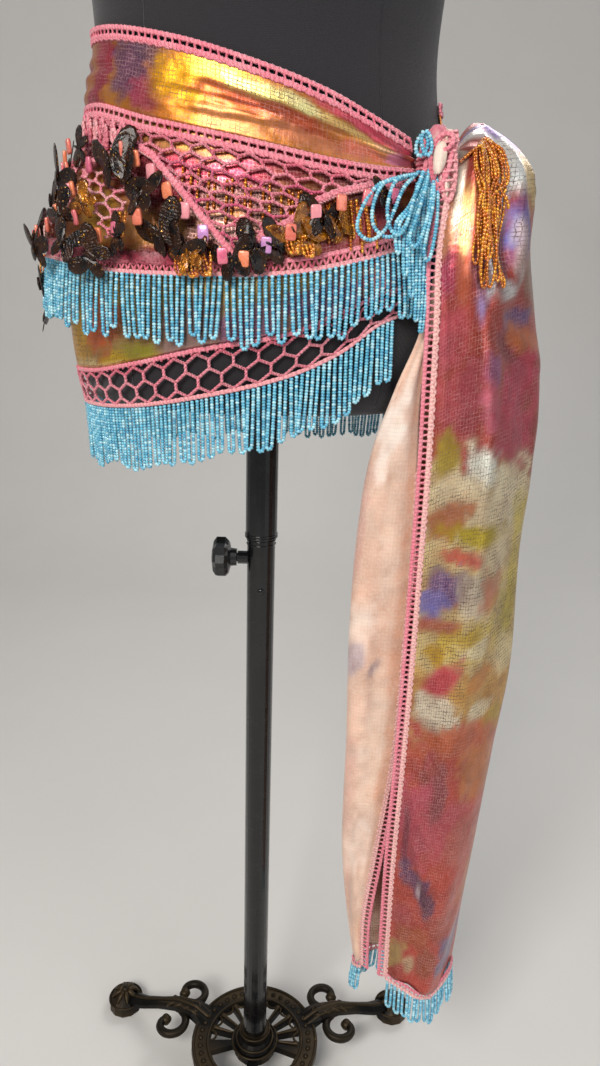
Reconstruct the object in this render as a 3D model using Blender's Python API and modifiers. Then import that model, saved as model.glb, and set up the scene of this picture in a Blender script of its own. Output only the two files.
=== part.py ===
"""Belly dance hip belt worn on a limbless dress form with a pole stand.

Metres, +Z up, front towards -Y. A turn is an angle round the form in degrees: 0 at the front,
90 at the side of +X, where the belt is tied, and -90 at the other side.
"""

import math

import bmesh
import bpy
from mathutils import Vector
from mathutils.geometry import delaunay_2d_cdt

# --- driving dimensions ---
GAP = 0.0003  # between pieces that touch
CLOTH = 0.0015  # wall of foil cloth
LACE = 0.0016  # wall of crochet
SKIN = 0.0016  # least distance from the form to the cloth on it

TUBE_RADIUS = 0.0130
TUBE_BORE = 0.0118
TUBE_FOOT = 0.0603
TUBE_TOP = 0.6500
ROD_RADIUS = 0.0112
ROD_FOOT = 0.3800
SLEEVE_RADIUS = 0.0145
SLEEVE_BORE = 0.0119
SLEEVE_FOOT = 0.6503
FORM_FOOT = 0.7750
CAP_LIP = 0.0020  # how far the neck cap stands over the neck
KNOB_HEIGHT = 0.6300
BOSS_RADIUS = 0.0062
BOSS_LENGTH = 0.0095
BOSS_END = 0.0215  # distance of the boss's face from the pole's axis
THREAD_RADIUS = 0.0045

PLATE_RADIUS = 0.0725
PLATE_BOTTOM = 0.0340
PLATE_THICK = 0.0080
LEG_TURNS = (25.0, 155.0, 270.0)  # from +X towards +Y
FOOT_DISTANCE = 0.1850
FOOT_RADIUS = 0.0200

BAND_ENDS = (-284.0, 47.0)  # turns where the upper band ends, under the knot
PANEL_ENDS = (-290.0, 62.0)
EDGING = 0.0080  # height of the crocheted ladder edging
HEADER = 0.0100  # crocheted header over the upper fringe
HEM_HEIGHT = 0.0340  # depth of the hexagon hem before it is squeezed towards the knot
HEX_PITCH = 0.0186
HEX_RISE = 0.0122  # from one row of hexagons to the next
FLARE = 0.0150  # how far the skirt stands off the form at the far side
FLARE_TURN = -88.0
FLARE_SPREAD = 62.0
STRAND = 0.0026  # width and depth of a string of seed beads

# --- tables ---
# The form: height, half width, half depth, how far its middle lies back.
FORM_ROWS = (
    (FORM_FOOT, 0.1300, 0.0880, 0.000),
    (0.779, 0.1430, 0.0995, 0.000),
    (0.790, 0.1510, 0.1075, 0.000),
    (0.810, 0.1555, 0.1120, 0.000),
    (0.840, 0.1590, 0.1160, 0.000),
    (0.880, 0.1580, 0.1150, 0.000),
    (0.920, 0.1520, 0.1100, 0.000),
    (0.960, 0.1430, 0.1030, 0.000),
    (1.000, 0.1350, 0.0970, 0.000),
    (1.030, 0.1315, 0.0940, 0.000),
    (1.060, 0.1320, 0.0950, 0.000),
    (1.100, 0.1360, 0.0990, -0.002),
    (1.150, 0.1460, 0.1070, -0.005),
    (1.200, 0.1545, 0.1150, -0.008),
    (1.245, 0.1570, 0.1160, -0.009),
    (1.290, 0.1580, 0.1060, -0.004),
    (1.330, 0.1600, 0.0950, 0.000),
    (1.360, 0.1570, 0.0850, 0.002),
    (1.385, 0.1430, 0.0750, 0.004),
    (1.405, 0.1160, 0.0650, 0.006),
    (1.422, 0.0850, 0.0560, 0.008),
    (1.438, 0.0630, 0.0520, 0.009),
    (1.460, 0.0550, 0.0500, 0.009),
    (1.485, 0.0530, 0.0490, 0.008),
)
# The surface that the belt is wrapped on: height, half width, half depth.
HIP_ROWS = (
    (0.680, 0.1390, 0.0980),
    (0.740, 0.1445, 0.1025),
    (0.775, 0.1500, 0.1075),
    (0.800, 0.1550, 0.1120),
    (0.840, 0.1592, 0.1162),
    (0.880, 0.1582, 0.1152),
    (0.920, 0.1520, 0.1100),
    (0.960, 0.1430, 0.1030),
    (1.000, 0.1350, 0.0970),
    (1.030, 0.1315, 0.0940),
    (1.060, 0.1320, 0.0950),
    (1.100, 0.1360, 0.0990),
)
# Middle of the crocheted edging over the upper band: turn, height.
BAND_TOP = (
    (-284, 1.003),
    (-250, 1.012),
    (-215, 1.028),
    (-180, 1.040),
    (-140, 1.048),
    (-100, 1.048),
    (-57, 1.040),
    (-26, 1.026),
    (-3, 1.011),
    (20, 0.994),
    (36, 0.979),
    (47, 0.969),
)
# Middle of the crocheted seam under the upper band: turn, height.
BAND_SEAM = (
    (-284, 0.953),
    (-250, 0.960),
    (-215, 0.970),
    (-180, 0.980),
    (-140, 0.989),
    (-100, 0.992),
    (-59, 0.990),
    (-30, 0.974),
    (-2, 0.960),
    (18, 0.951),
    (33, 0.948),
    (47, 0.949),
)
# Top of the upper fringe: turn, height.
SKIRT_LOW = (
    (-290, 0.916),
    (-250, 0.905),
    (-215, 0.897),
    (-180, 0.893),
    (-140, 0.892),
    (-100, 0.891),
    (-77, 0.888),
    (-56, 0.883),
    (-39, 0.877),
    (-12, 0.8755),
    (8, 0.878),
    (26, 0.888),
    (45, 0.902),
    (62, 0.914),
)
# Hexagon hem, by the angle from its lowest side: angle, bottom, top.
HEM_ROWS = (
    (0, 0.7730, 0.8020),
    (68, 0.7755, 0.8050),
    (90, 0.7800, 0.8140),
    (111, 0.7905, 0.8270),
    (133, 0.8065, 0.8390),
    (147, 0.8240, 0.8550),
    (160, 0.8470, 0.8690),
    (187, 0.8640, 0.8850),
)
HEM_LOW_TURN = -125.0
# Lower border of the crocheted fans: turn, height.
FRONT_FAN = (
    (-43, 0.9700),
    (-29, 0.9530),
    (-19, 0.9290),
    (-12, 0.9090),
    (-5, 0.8880),
    (1, 0.9000),
    (8, 0.9110),
    (14, 0.9240),
    (21, 0.9320),
    (30, 0.9375),
    (42, 0.9390),
)
SIDE_FAN = (
    (-136, 0.9780),
    (-120, 0.9560),
    (-104, 0.9280),
    (-90, 0.9140),
    (-80, 0.9080),
    (-72, 0.9120),
    (-64, 0.9190),
    (-57, 0.9370),
    (-47, 0.9690),
)
# Turns of the square beads that hang from each border.
FRONT_BEADS = (-38, -32.5, -27, -22, -17, -12, -7.2, -2.5, 2.5, 8, 14, 20.5, 27.5, 35)
SIDE_BEADS = (-130, -122, -114, -106, -99, -92, -85, -78, -72, -66.5, -61.5, -56, -51)
# Front end of the sash, folded in two, from its free edge round the fold to its back:
# height, then x and y at the edge, the front, the fold, the back and the end.
TAIL_FRONT = (
    (0.200, 0.1355, -0.0680, 0.1660, -0.0780, 0.2040, -0.0450, 0.1900, -0.0120, 0.1550, 0.0020),
    (0.270, 0.1345, -0.0700, 0.1700, -0.0800, 0.2110, -0.0400, 0.1950, -0.0050, 0.1550, 0.0080),
    (0.350, 0.1340, -0.0720, 0.1760, -0.0820, 0.2180, -0.0380, 0.2000, 0.0020, 0.1580, 0.0120),
    (0.450, 0.1355, -0.0740, 0.1800, -0.0820, 0.2230, -0.0350, 0.2050, 0.0080, 0.1580, 0.0180),
    (0.550, 0.1365, -0.0770, 0.1830, -0.0830, 0.2280, -0.0350, 0.2080, 0.0100, 0.1600, 0.0200),
    (0.650, 0.1365, -0.0800, 0.1830, -0.0850, 0.2270, -0.0320, 0.2100, 0.0150, 0.1600, 0.0250),
    (0.730, 0.1360, -0.0850, 0.1840, -0.0850, 0.2300, -0.0300, 0.2140, 0.0200, 0.1680, 0.0350),
    (0.800, 0.1340, -0.0900, 0.1820, -0.0860, 0.2290, -0.0220, 0.2160, 0.0250, 0.1780, 0.0420),
    (0.850, 0.1320, -0.0940, 0.1780, -0.0870, 0.2210, -0.0150, 0.2120, 0.0300, 0.1840, 0.0450),
    (0.900, 0.1300, -0.0940, 0.1720, -0.0850, 0.2130, -0.0120, 0.2050, 0.0300, 0.1800, 0.0450),
    (0.935, 0.1345, -0.0860, 0.1720, -0.0770, 0.2120, -0.0100, 0.2020, 0.0350, 0.1720, 0.0480),
    (0.965, 0.1385, -0.0735, 0.1740, -0.0600, 0.2080, -0.0050, 0.1960, 0.0350, 0.1600, 0.0500),
    (0.985, 0.1470, -0.0440, 0.1650, -0.0400, 0.1900, 0.0000, 0.1800, 0.0350, 0.1500, 0.0480),
    (1.004, 0.1480, -0.0150, 0.1530, -0.0100, 0.1600, 0.0100, 0.1560, 0.0280, 0.1470, 0.0380),
)
# Rear end of the sash, from its hidden end round its left fold to its free edge.
TAIL_REAR = (
    (0.200, 0.1520, -0.0340, 0.1300, -0.0260, 0.1070, -0.0380, 0.1080, -0.0480, 0.1120, -0.0530),
    (0.270, 0.1580, -0.0320, 0.1240, -0.0220, 0.0970, -0.0380, 0.0990, -0.0500, 0.1090, -0.0550),
    (0.350, 0.1620, -0.0300, 0.1200, -0.0200, 0.0900, -0.0400, 0.0970, -0.0550, 0.1160, -0.0580),
    (0.460, 0.1650, -0.0300, 0.1180, -0.0200, 0.0870, -0.0420, 0.0990, -0.0580, 0.1270, -0.0580),
    (0.570, 0.1650, -0.0300, 0.1180, -0.0220, 0.0850, -0.0420, 0.0990, -0.0590, 0.1300, -0.0580),
    (0.660, 0.1650, -0.0300, 0.1200, -0.0280, 0.0880, -0.0450, 0.1010, -0.0620, 0.1310, -0.0620),
    (0.740, 0.1650, -0.0440, 0.1230, -0.0530, 0.0940, -0.0640, 0.1050, -0.0750, 0.1280, -0.0730),
    (0.800, 0.1650, -0.0600, 0.1310, -0.0740, 0.1075, -0.0875, 0.1120, -0.0905, 0.1250, -0.0850),
    (0.840, 0.1650, -0.0680, 0.1430, -0.0750, 0.1225, -0.0825, 0.1245, -0.0858, 0.1300, -0.0868),
    (0.890, 0.1520, -0.0640, 0.1415, -0.0760, 0.1298, -0.0838, 0.1322, -0.0876, 0.1385, -0.0876),
    (0.940, 0.1420, -0.0660, 0.1345, -0.0720, 0.1262, -0.0770, 0.1290, -0.0818, 0.1350, -0.0822),
)
# Lower edge of each sash end across its width: share of the width, height.
TAIL_FRONT_HEM = ((0, 0.217), (1 / 6, 0.212), (1 / 3, 0.197), (1 / 2, 0.211), (2 / 3, 0.205), (1, 0.221))
TAIL_REAR_HEM = ((0, 0.214), (0.5, 0.208), (1, 0.216))
# Upper edge of the front end, where it comes out of the knot.
TAIL_FRONT_TOP = ((0, 0.955), (0.12, 0.972), (0.30, 0.990), (0.52, 1.000), (0.78, 0.996), (1, 0.985))
TAIL_REAR_TOP = ((0, 0.9377), (1, 0.9377))

COLOURS = {
    "form_black": (0.020, 0.018, 0.018, 0.85, 0.0),
    "pole_black": (0.015, 0.015, 0.016, 0.30, 0.6),
    "cast_iron": (0.035, 0.030, 0.024, 0.45, 0.8),
    "knob_black": (0.012, 0.012, 0.012, 0.35, 0.0),
    "foil": (0.72, 0.36, 0.22, 0.35, 0.3),
    "cream": (0.85, 0.68, 0.55, 0.80, 0.0),
    "crochet": (0.82, 0.34, 0.42, 0.85, 0.0),
    "turquoise": (0.22, 0.62, 0.76, 0.25, 0.0),
    "amber": (0.62, 0.26, 0.04, 0.15, 0.0),
}


# --- small helpers ---
def clear_scene():
    for old in list(bpy.data.objects):
        bpy.data.objects.remove(old, do_unlink=True)


def new_collection(name):
    made = bpy.data.collections.new(name)
    bpy.context.scene.collection.children.link(made)
    return made


def material(name):
    red, green, blue, rough, metal = COLOURS[name]
    made = bpy.data.materials.get(name) or bpy.data.materials.new(name)
    made.use_nodes = True
    shader = made.node_tree.nodes["Principled BSDF"]
    shader.inputs["Base Color"].default_value = (red, green, blue, 1.0)
    shader.inputs["Roughness"].default_value = rough
    shader.inputs["Metallic"].default_value = metal
    return made


def add_object(name, data, finish):
    made = bpy.data.objects.new(name, data)
    made.data.materials.append(material(finish))
    BELT.objects.link(made)
    return made


def from_bmesh(name, shape, finish, closed=True):
    if closed:
        bmesh.ops.recalc_face_normals(shape, faces=shape.faces)
    data = bpy.data.meshes.new(name)
    shape.to_mesh(data)
    shape.free()
    data.shade_smooth()
    return add_object(name, data, finish)


def thicken(made, thickness):
    wall = made.modifiers.new("wall", "SOLIDIFY")
    wall.thickness = thickness
    wall.offset = 1.0
    return made


def smooth_value(rows, at, column=1):
    """Cubic value between the rows of a table whose first column rises."""
    if at <= rows[0][0]:
        return rows[0][column]
    if at >= rows[-1][0]:
        return rows[-1][column]
    i = max(k for k in range(len(rows) - 1) if rows[k][0] <= at)
    span = rows[i + 1][0] - rows[i][0]

    def slope(k):
        before, after = max(k - 1, 0), min(k + 1, len(rows) - 1)
        return (rows[after][column] - rows[before][column]) / (rows[after][0] - rows[before][0])

    t = (at - rows[i][0]) / span
    start, end = rows[i][column], rows[i + 1][column]
    return (
        (2 * t**3 - 3 * t**2 + 1) * start
        + (t**3 - 2 * t**2 + t) * span * slope(i)
        + (3 * t**2 - 2 * t**3) * end
        + (t**3 - t**2) * span * slope(i + 1)
    )


def straight_value(rows, at, column=1):
    """Value on the straight line between the rows of such a table."""
    for low, high in zip(rows, rows[1:]):
        if at <= high[0]:
            return mix(low[column], high[column], max(at - low[0], 0.0) / (high[0] - low[0]))
    return rows[-1][column]


def mix(a, b, t):
    return a + (b - a) * t


def ramp(low, high, x):
    t = min(max((x - low) / (high - low), 0.0), 1.0)
    return t * t * (3 - 2 * t)


# --- the surface round the hips ---
def hip_point(turn, height, out):
    wide = smooth_value(HIP_ROWS, height, 1) + out
    deep = smooth_value(HIP_ROWS, height, 2) + out
    angle = math.radians(turn)
    return Vector((wide * math.sin(angle), -deep * math.cos(angle), height))


def arc_turns(start, end, height=0.82):
    """Arc lengths and turns, a degree apart, round the hips."""
    steps = round(abs(end - start))
    turns = [mix(start, end, k / steps) for k in range(steps + 1)]
    arcs = [0.0]
    for a, b in zip(turns, turns[1:]):
        arcs.append(arcs[-1] + (hip_point(b, height, 0) - hip_point(a, height, 0)).length)
    return list(zip(arcs, turns))


def turn_at(table, arc):
    i = min(max(k for k in range(len(table)) if table[k][0] <= max(arc, 0.0)), len(table) - 2)
    (low, first), (high, second) = table[i], table[i + 1]
    return mix(first, second, (arc - low) / (high - low))


def even_turns(start, end, count):
    table = arc_turns(start, end)
    return [turn_at(table, table[-1][0] * k / count) for k in range(count + 1)]


def from_low_side(turn):
    return abs((turn - HEM_LOW_TURN + 180.0) % 360.0 - 180.0)


def hem_low(turn):
    return smooth_value(HEM_ROWS, from_low_side(turn), 1)


def hem_top(turn):
    return smooth_value(HEM_ROWS, from_low_side(turn), 2)


def flare(turn):
    away = (turn - FLARE_TURN + 180.0) % 360.0 - 180.0
    if abs(away) > FLARE_SPREAD:
        return 0.0
    return FLARE * math.cos(math.radians(90.0 * away / FLARE_SPREAD)) ** 2


def skirt_share(turn, height):
    """0 at the seam under the band, 1 at the top of the upper fringe."""
    seam, low = smooth_value(BAND_SEAM, turn), smooth_value(SKIRT_LOW, turn)
    return (seam - height) / (seam - low)


def skirt_out(turn, height):
    above = height - smooth_value(SKIRT_LOW, turn)
    share = max(skirt_share(turn, height), 0.0)
    return mix(0.0041, SKIN, ramp(0.018, 0.034, above)) + flare(turn) * share**2


def net_out(turn, height):
    share = max(skirt_share(turn, height), 0.0)
    return 0.0048 + 0.0052 * share + flare(turn) * min(share * 1.15, 1.0) ** 2


def band_level(turn, share):
    low = smooth_value(BAND_SEAM, turn) + EDGING / 2 + GAP
    high = smooth_value(BAND_TOP, turn) - EDGING / 2 - GAP
    return mix(low, high, share)


def band_fold(turn, share):
    """Height of the long folds that run together into the knot."""
    spread = min(max((BAND_ENDS[1] - turn) / 105.0, 0.12), 1.0)
    rise = 0.0
    for place, size in ((0.16, 0.0020), (0.42, 0.0026), (0.68, 0.0022)):
        middle = mix(0.5, place, spread)
        rise += size * math.exp(-(((share - middle) / (0.035 + 0.055 * spread)) ** 2))
    return rise * (0.65 + 0.35 * math.cos(math.radians(turn * 5.0)))


def band_out(turn, share):
    """Share is 0 at the lower edge of the band and 1 at its upper edge."""
    above = band_level(turn, share) - smooth_value(BAND_SEAM, turn)
    return mix(0.0045, SKIN + 0.0002, ramp(0.015, 0.035, above)) + band_fold(turn, share)


# --- sheets, nets and fringes ---
def sheet(name, columns, rows, place, thickness, finish):
    """Wall over a grid; place takes the shares across and up, from left to right seen from outside."""
    shape = bmesh.new()
    grid = [
        [shape.verts.new(place(i / columns, j / rows)) for i in range(columns + 1)]
        for j in range(rows + 1)
    ]
    for low, high in zip(grid, grid[1:]):
        for i in range(columns):
            shape.faces.new((low[i], low[i + 1], high[i + 1], high[i]))
    return thicken(from_bmesh(name, shape, finish, closed=False), thickness)


def net(name, outline, holes, place, thickness, finish):
    """Wall inside a flat outline less its holes, then bent round by place."""
    points, edges = [], []
    for loop in [outline, *holes]:
        first = len(points)
        points += [Vector(p) for p in loop]
        count = len(loop)
        edges += [(first + k, first + (k + 1) % count) for k in range(count)]
    flat, _, faces, *_ = delaunay_2d_cdt(points, edges, [], 2, 1e-7)
    shape = bmesh.new()
    corners = [shape.verts.new(place(p.x, p.y)) for p in flat]
    for face in faces:
        a, b, c = (flat[k] for k in face)
        turned = (b - a).cross(c - a) < 0
        shape.faces.new([corners[k] for k in (reversed(face) if turned else face)])
    return thicken(from_bmesh(name, shape, finish, closed=False), thickness)


def every_fourth(edges, ends):
    """Places for the upper corners of a strip: both ends and every fourth string edge."""
    return [ends[0]] + [x for edge in edges for x in edge][::4] + [ends[1]]


def fringe(name, edges, tops, spot, height, depth, drops, finish):
    """Strings fused into a strip. edges holds each string's left and right place along the strip,
    tops the places of the strip's upper corners, from end to end. spot(along, up, out, k) is a
    point, up and out from the strip's inner lower edge, and drops(k) gives the distances down
    string k at which it has a section."""
    shape = bmesh.new()

    def pair(along, up, k=None):
        return tuple(shape.verts.new(spot(along, up, out, k)) for out in (0.0, depth))

    alongs = [tops[0]] + [x for edge in edges for x in edge] + [tops[-1]]
    low = [pair(x, 0.0) for x in alongs]
    high = [pair(x, height) for x in tops]
    nearest = [min(range(len(alongs)), key=lambda k: abs(alongs[k] - x)) for x in tops]
    for j in range(len(tops) - 1):
        a, b = nearest[j], nearest[j + 1]
        for side in (0, 1):
            loop = [low[k][side] for k in range(a, b + 1)] + [high[j + 1][side], high[j][side]]
            shape.faces.new(loop if side else loop[::-1])
        shape.faces.new((high[j][1], high[j + 1][1], high[j + 1][0], high[j][0]))
    for bottom, top in ((low[0], high[0]), (low[-1], high[-1])):
        shape.faces.new((bottom[0], bottom[1], top[1], top[0]))
    for k in range(0, len(alongs) - 1, 2):
        shape.faces.new((low[k][0], low[k + 1][0], low[k + 1][1], low[k][1]))
    for k, (left, right) in enumerate(edges):
        above = (low[2 * k + 1], low[2 * k + 2])
        for drop in drops(k):
            below = (pair(left, -drop, k), pair(right, -drop, k))
            ring_a = (above[0][0], above[1][0], above[1][1], above[0][1])
            ring_b = (below[0][0], below[1][0], below[1][1], below[0][1])
            for m in range(4):
                n = (m + 1) % 4
                shape.faces.new((ring_a[m], ring_a[n], ring_b[n], ring_b[m]))
            above = below
        shape.faces.new(ring_b)
    return from_bmesh(name, shape, finish)


def loft(name, rings, finish):
    """Closed body through rings of points."""
    shape = bmesh.new()
    loops = [[shape.verts.new(p) for p in ring] for ring in rings]
    for a, b in zip(loops, loops[1:]):
        for k in range(len(a)):
            m = (k + 1) % len(a)
            shape.faces.new((a[k], a[m], b[m], b[k]))
    shape.faces.new(loops[0])
    shape.faces.new(loops[-1])
    return from_bmesh(name, shape, finish)


def turned(name, profile, steps, finish):
    """Body of revolution about Z; the profile runs down its outer side."""
    data = bpy.data.meshes.new(name)
    points = [(radius, 0.0, height) for radius, height in profile]
    data.from_pydata(points, [(k, k + 1) for k in range(len(points) - 1)], [])
    made = add_object(name, data, finish)
    spin = made.modifiers.new("spin", "SCREW")
    spin.steps = spin.render_steps = steps
    spin.use_merge_vertices = True
    spin.merge_threshold = 0.0001
    return made


def tube(name, outer, bore, foot, top, steps, finish):
    """Round tube, open at both ends."""
    profile = ((outer, top), (outer, foot), (bore, foot), (bore, top), (outer, top))
    return turned(name, profile, steps, finish)


def evaluated_mesh(made):
    graph = bpy.context.evaluated_depsgraph_get()
    data = bpy.data.meshes.new_from_object(made.evaluated_get(graph))
    shape = bmesh.new()
    shape.from_mesh(data)
    bmesh.ops.remove_doubles(shape, verts=shape.verts, dist=0.00001)
    bmesh.ops.recalc_face_normals(shape, faces=shape.faces)
    shape.to_mesh(data)
    shape.free()
    return data


def as_mesh(made):
    """The curve object as a mesh object with its caps welded."""
    name, finish, matrix = made.name, made.data.materials[0].name, made.matrix_world.copy()
    data = evaluated_mesh(made)
    bpy.data.objects.remove(made)
    fresh = add_object(name, data, finish)
    fresh.matrix_world = matrix
    return fresh


def boolean(target, tool, operation):
    step = target.modifiers.new(operation.lower(), "BOOLEAN")
    step.operation = operation
    step.object = tool
    BELT.objects.unlink(tool)
    CUTTERS.objects.link(tool)
    tool.hide_render = True
    tool.display_type = "WIRE"


# --- stand ---
def ring_sector(inner, outer, start, end, steps):
    outside = [mix(start, end, k / steps) for k in range(steps + 1)]
    loop = [(outer * math.cos(math.radians(a)), outer * math.sin(math.radians(a))) for a in outside]
    loop += [(inner * math.cos(math.radians(a)), inner * math.sin(math.radians(a))) for a in (end, start)]
    return loop


def circle(radius, steps):
    angles = [math.tau * k / steps for k in range(steps)]
    return [(radius * math.cos(a), radius * math.sin(a)) for a in angles]


def medallion():
    """Round plate with a fan of spokes in its rear half and two openings in front."""
    loops = [circle(PLATE_RADIUS, 30)]
    fan_start, fan_turn, spokes, half_spoke = -6.0, 192.0, 9, 3.0
    inner, outer = 0.0255, 0.0520
    for k in range(spokes):
        start = fan_start + fan_turn * k / spokes
        end = start + fan_turn / spokes
        loops.append(ring_sector(inner, outer, start + half_spoke, end - half_spoke, 1))
    for start in (198.0, 280.0):
        loops.append(ring_sector(inner, outer, start, start + 60.0, 4))
    data = bpy.data.curves.new("base_casting", "CURVE")
    data.dimensions = "2D"
    data.fill_mode = "BOTH"
    data.extrude = PLATE_THICK / 2
    for loop in loops:
        spline = data.splines.new("POLY")
        spline.points.add(len(loop) - 1)
        spline.use_cyclic_u = True
        for point, (x, y) in zip(spline.points, loop):
            point.co = (x, y, 0.0, 1.0)
    made = add_object("base_casting", data, "cast_iron")
    made.location.z = PLATE_BOTTOM + PLATE_THICK / 2
    bpy.context.view_layer.update()
    return as_mesh(made)


LEG_ROWS = (  # distance from the pole, height of the middle, half width, half height
    (0.0600, 0.0380, 0.0150, 0.0035),
    (0.0800, 0.0440, 0.0120, 0.0060),
    (0.1050, 0.0410, 0.0085, 0.0070),
    (0.1300, 0.0300, 0.0070, 0.0065),
    (0.1550, 0.0180, 0.0080, 0.0060),
    (0.1850, 0.0110, 0.0100, 0.0055),
)


def leg(turn, number):
    rings = []
    for distance, height, wide, tall in LEG_ROWS:
        ring = []
        for k in range(8):
            angle = math.radians(45.0 * k + 22.5)
            side, up = wide * math.cos(angle) / 0.924, tall * math.sin(angle) / 0.924
            ring.append(Vector((distance, side, height + up)))
        rings.append(ring)
    made = loft(f"leg_{number}", rings, "cast_iron")
    made.rotation_euler.z = math.radians(turn)
    return made


def foot(turn, number):
    profile = (
        (0, 0.0250),
        (0.0090, 0.0220),
        (0.0120, 0.0180),
        (FOOT_RADIUS, 0.0120),
        (FOOT_RADIUS, 0.0),
        (0, 0.0),
    )
    made = turned(f"foot_{number}", profile, 12, "cast_iron")
    angle = math.radians(turn)
    made.location = (FOOT_DISTANCE * math.cos(angle), FOOT_DISTANCE * math.sin(angle), 0.0)
    return made


def scroll(turn, side, number):
    """C-scroll between the medallion and a leg, in the plate's plane."""
    data = bpy.data.curves.new(f"scroll_{number}", "CURVE")
    data.dimensions = "3D"
    data.bevel_depth = 0.0042
    data.bevel_resolution = 0
    data.use_fill_caps = True
    spline = data.splines.new("POLY")
    count = 10
    spline.points.add(count - 1)
    for k, point in enumerate(spline.points):
        t = k / (count - 1)
        angle = math.radians(265.0 - 300.0 * t)
        radius = 0.0200 * (1.0 - 0.62 * t)
        x = 0.0990 + radius * math.cos(angle) + 0.004 * t
        y = side * (0.0245 + radius * math.sin(angle) * 0.95)
        point.co = (x, y, mix(0.0400, 0.0350, t), 1.0)
    made = add_object(f"scroll_{number}", data, "cast_iron")
    made.rotation_euler.z = math.radians(turn)
    bpy.context.view_layer.update()
    return as_mesh(made)


HUB_ROWS = (  # radius, height
    (0, 0.0600),
    (0.0160, 0.0600),
    (0.0165, 0.0500),
    (0.0200, 0.0460),
    (0.0238, 0.0400),
    (0.0238, 0.0300),
    (0, 0.0300),
)


def base():
    plate = medallion()
    boolean(plate, turned("hub", HUB_ROWS, 16, "cast_iron"), "UNION")
    for number, turn in enumerate(LEG_TURNS):
        boolean(plate, leg(turn, number), "UNION")
        boolean(plate, foot(turn, number), "UNION")
        for side in (-1, 1):
            boolean(plate, scroll(turn, side, f"{number}_{side}".replace("-", "m")), "UNION")
    return plate


def cylinder(name, radius, length):
    """Round bar that points towards -X from its location."""
    made = turned(name, ((0, length), (radius, length), (radius, 0.0), (0, 0.0)), 12, "pole_black")
    made.rotation_euler.y = math.radians(-90.0)
    return made


def lower_tube():
    """Pole tube with the threaded boss of the clamp knob near its top."""
    made = tube("lower_tube", TUBE_RADIUS, TUBE_BORE, TUBE_FOOT, TUBE_TOP, 24, "pole_black")
    boss = cylinder("boss", BOSS_RADIUS, BOSS_LENGTH)
    boss.location = (-BOSS_END + BOSS_LENGTH, 0.0, KNOB_HEIGHT)
    boolean(made, boss, "UNION")
    thread = cylinder("thread", THREAD_RADIUS, 0.02)
    thread.location = (-0.0075, 0.0, KNOB_HEIGHT)
    boolean(made, thread, "DIFFERENCE")
    return made


KNOB_ROWS = (  # distance from the pole's axis, radius, depth of the lobes
    (0.0120, 0.0041, 0.0),
    (0.0225, 0.0041, 0.0),
    (0.0226, 0.0080, 0.0),
    (0.0280, 0.0085, 0.0),
    (0.0300, 0.0150, 0.0010),
    (0.0330, 0.0178, 0.0016),
    (0.0410, 0.0178, 0.0016),
    (0.0440, 0.0140, 0.0010),
    (0.0455, 0.0070, 0.0),
)


def knob():
    rings = []
    for distance, radius, lobe in KNOB_ROWS:
        ring = []
        for k in range(16):
            angle = math.tau * k / 16
            r = radius + lobe * math.cos(8 * angle)
            ring.append(Vector((-distance, r * math.cos(angle), r * math.sin(angle))))
        rings.append(ring)
    made = loft("clamp_knob", rings, "knob_black")
    made.location.z = KNOB_HEIGHT
    return made


def form_rod():
    profile = ((0, FORM_FOOT - GAP), (ROD_RADIUS, FORM_FOOT - GAP), (ROD_RADIUS, ROD_FOOT), (0, ROD_FOOT))
    return turned("inner_rod", profile, 20, "pole_black")


def form_sleeve():
    return tube("form_sleeve", SLEEVE_RADIUS, SLEEVE_BORE, SLEEVE_FOOT, FORM_FOOT - GAP, 24, "pole_black")


def torso():
    rings = []
    for height, wide, deep, back in FORM_ROWS:
        ring = []
        for k in range(30):
            angle = math.tau * k / 30
            ring.append(Vector((wide * math.sin(angle), back - deep * math.cos(angle), height)))
        rings.append(ring)
    return loft("dress_form", rings, "form_black")


def neck_cap():
    height, wide, deep, back = FORM_ROWS[-1]
    brim = wide + CAP_LIP
    profile = (
        (0, 0.0240),
        (0.0100, 0.0235),
        (0.0300, 0.0185),
        (0.0450, 0.0105),
        (brim, 0.0050),
        (brim, 0.0),
        (0, 0.0),
    )
    made = turned("neck_cap", profile, 24, "knob_black")
    made.scale.y = (deep + CAP_LIP) / brim
    made.location = (0.0, back, height + GAP)
    return made


# --- belt: what lies round the hips ---
def upper_band():
    turns = even_turns(*BAND_ENDS, 40)

    def place(across, up):
        turn = turns[round(across * 40)]
        return hip_point(turn, band_level(turn, up), band_out(turn, up))

    return sheet("upper_band", 40, 5, place, CLOTH, "foil")


def band_edging(name, middle, share):
    turns = even_turns(*BAND_ENDS, 40)

    def place(across, up):
        turn = turns[round(across * 40)]
        height = smooth_value(middle, turn) + EDGING * (up - 0.5)
        return hip_point(turn, height, band_out(turn, share))

    return sheet(name, 40, 1, place, LACE, "crochet")


def skirt_panel():
    """Cloth under the fans, from below the band to the header of the upper fringe."""
    turns = even_turns(*PANEL_ENDS, 40)

    def place(across, up):
        turn = turns[round(across * 40)]
        low = smooth_value(SKIRT_LOW, turn) + HEADER + GAP
        high = smooth_value(BAND_SEAM, turn) + 0.012
        height = mix(low, high, up)
        return hip_point(turn, height, skirt_out(turn, height))

    return sheet("skirt_panel", 40, 3, place, CLOTH, "foil")


def hem_panel():
    """Lower cloth panel, from under the skirt to the hexagon hem."""
    turns = even_turns(*PANEL_ENDS, 40)

    def place(across, up):
        turn = turns[round(across * 40)]
        height = mix(hem_top(turn) + 2 * GAP, smooth_value(SKIRT_LOW, turn) + 0.016, up)
        return hip_point(turn, height, SKIN)

    return sheet("hem_panel", 40, 2, place, CLOTH, "foil")


def hexagon(x, y, wide, tall):
    half = tall / 2
    left = [(x - wide, y + half), (x - wide, y - half)]
    right = [(x + wide, y - half), (x + wide, y + half)]
    return [(x, y + tall), *left, (x, y - tall), *right]


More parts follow.
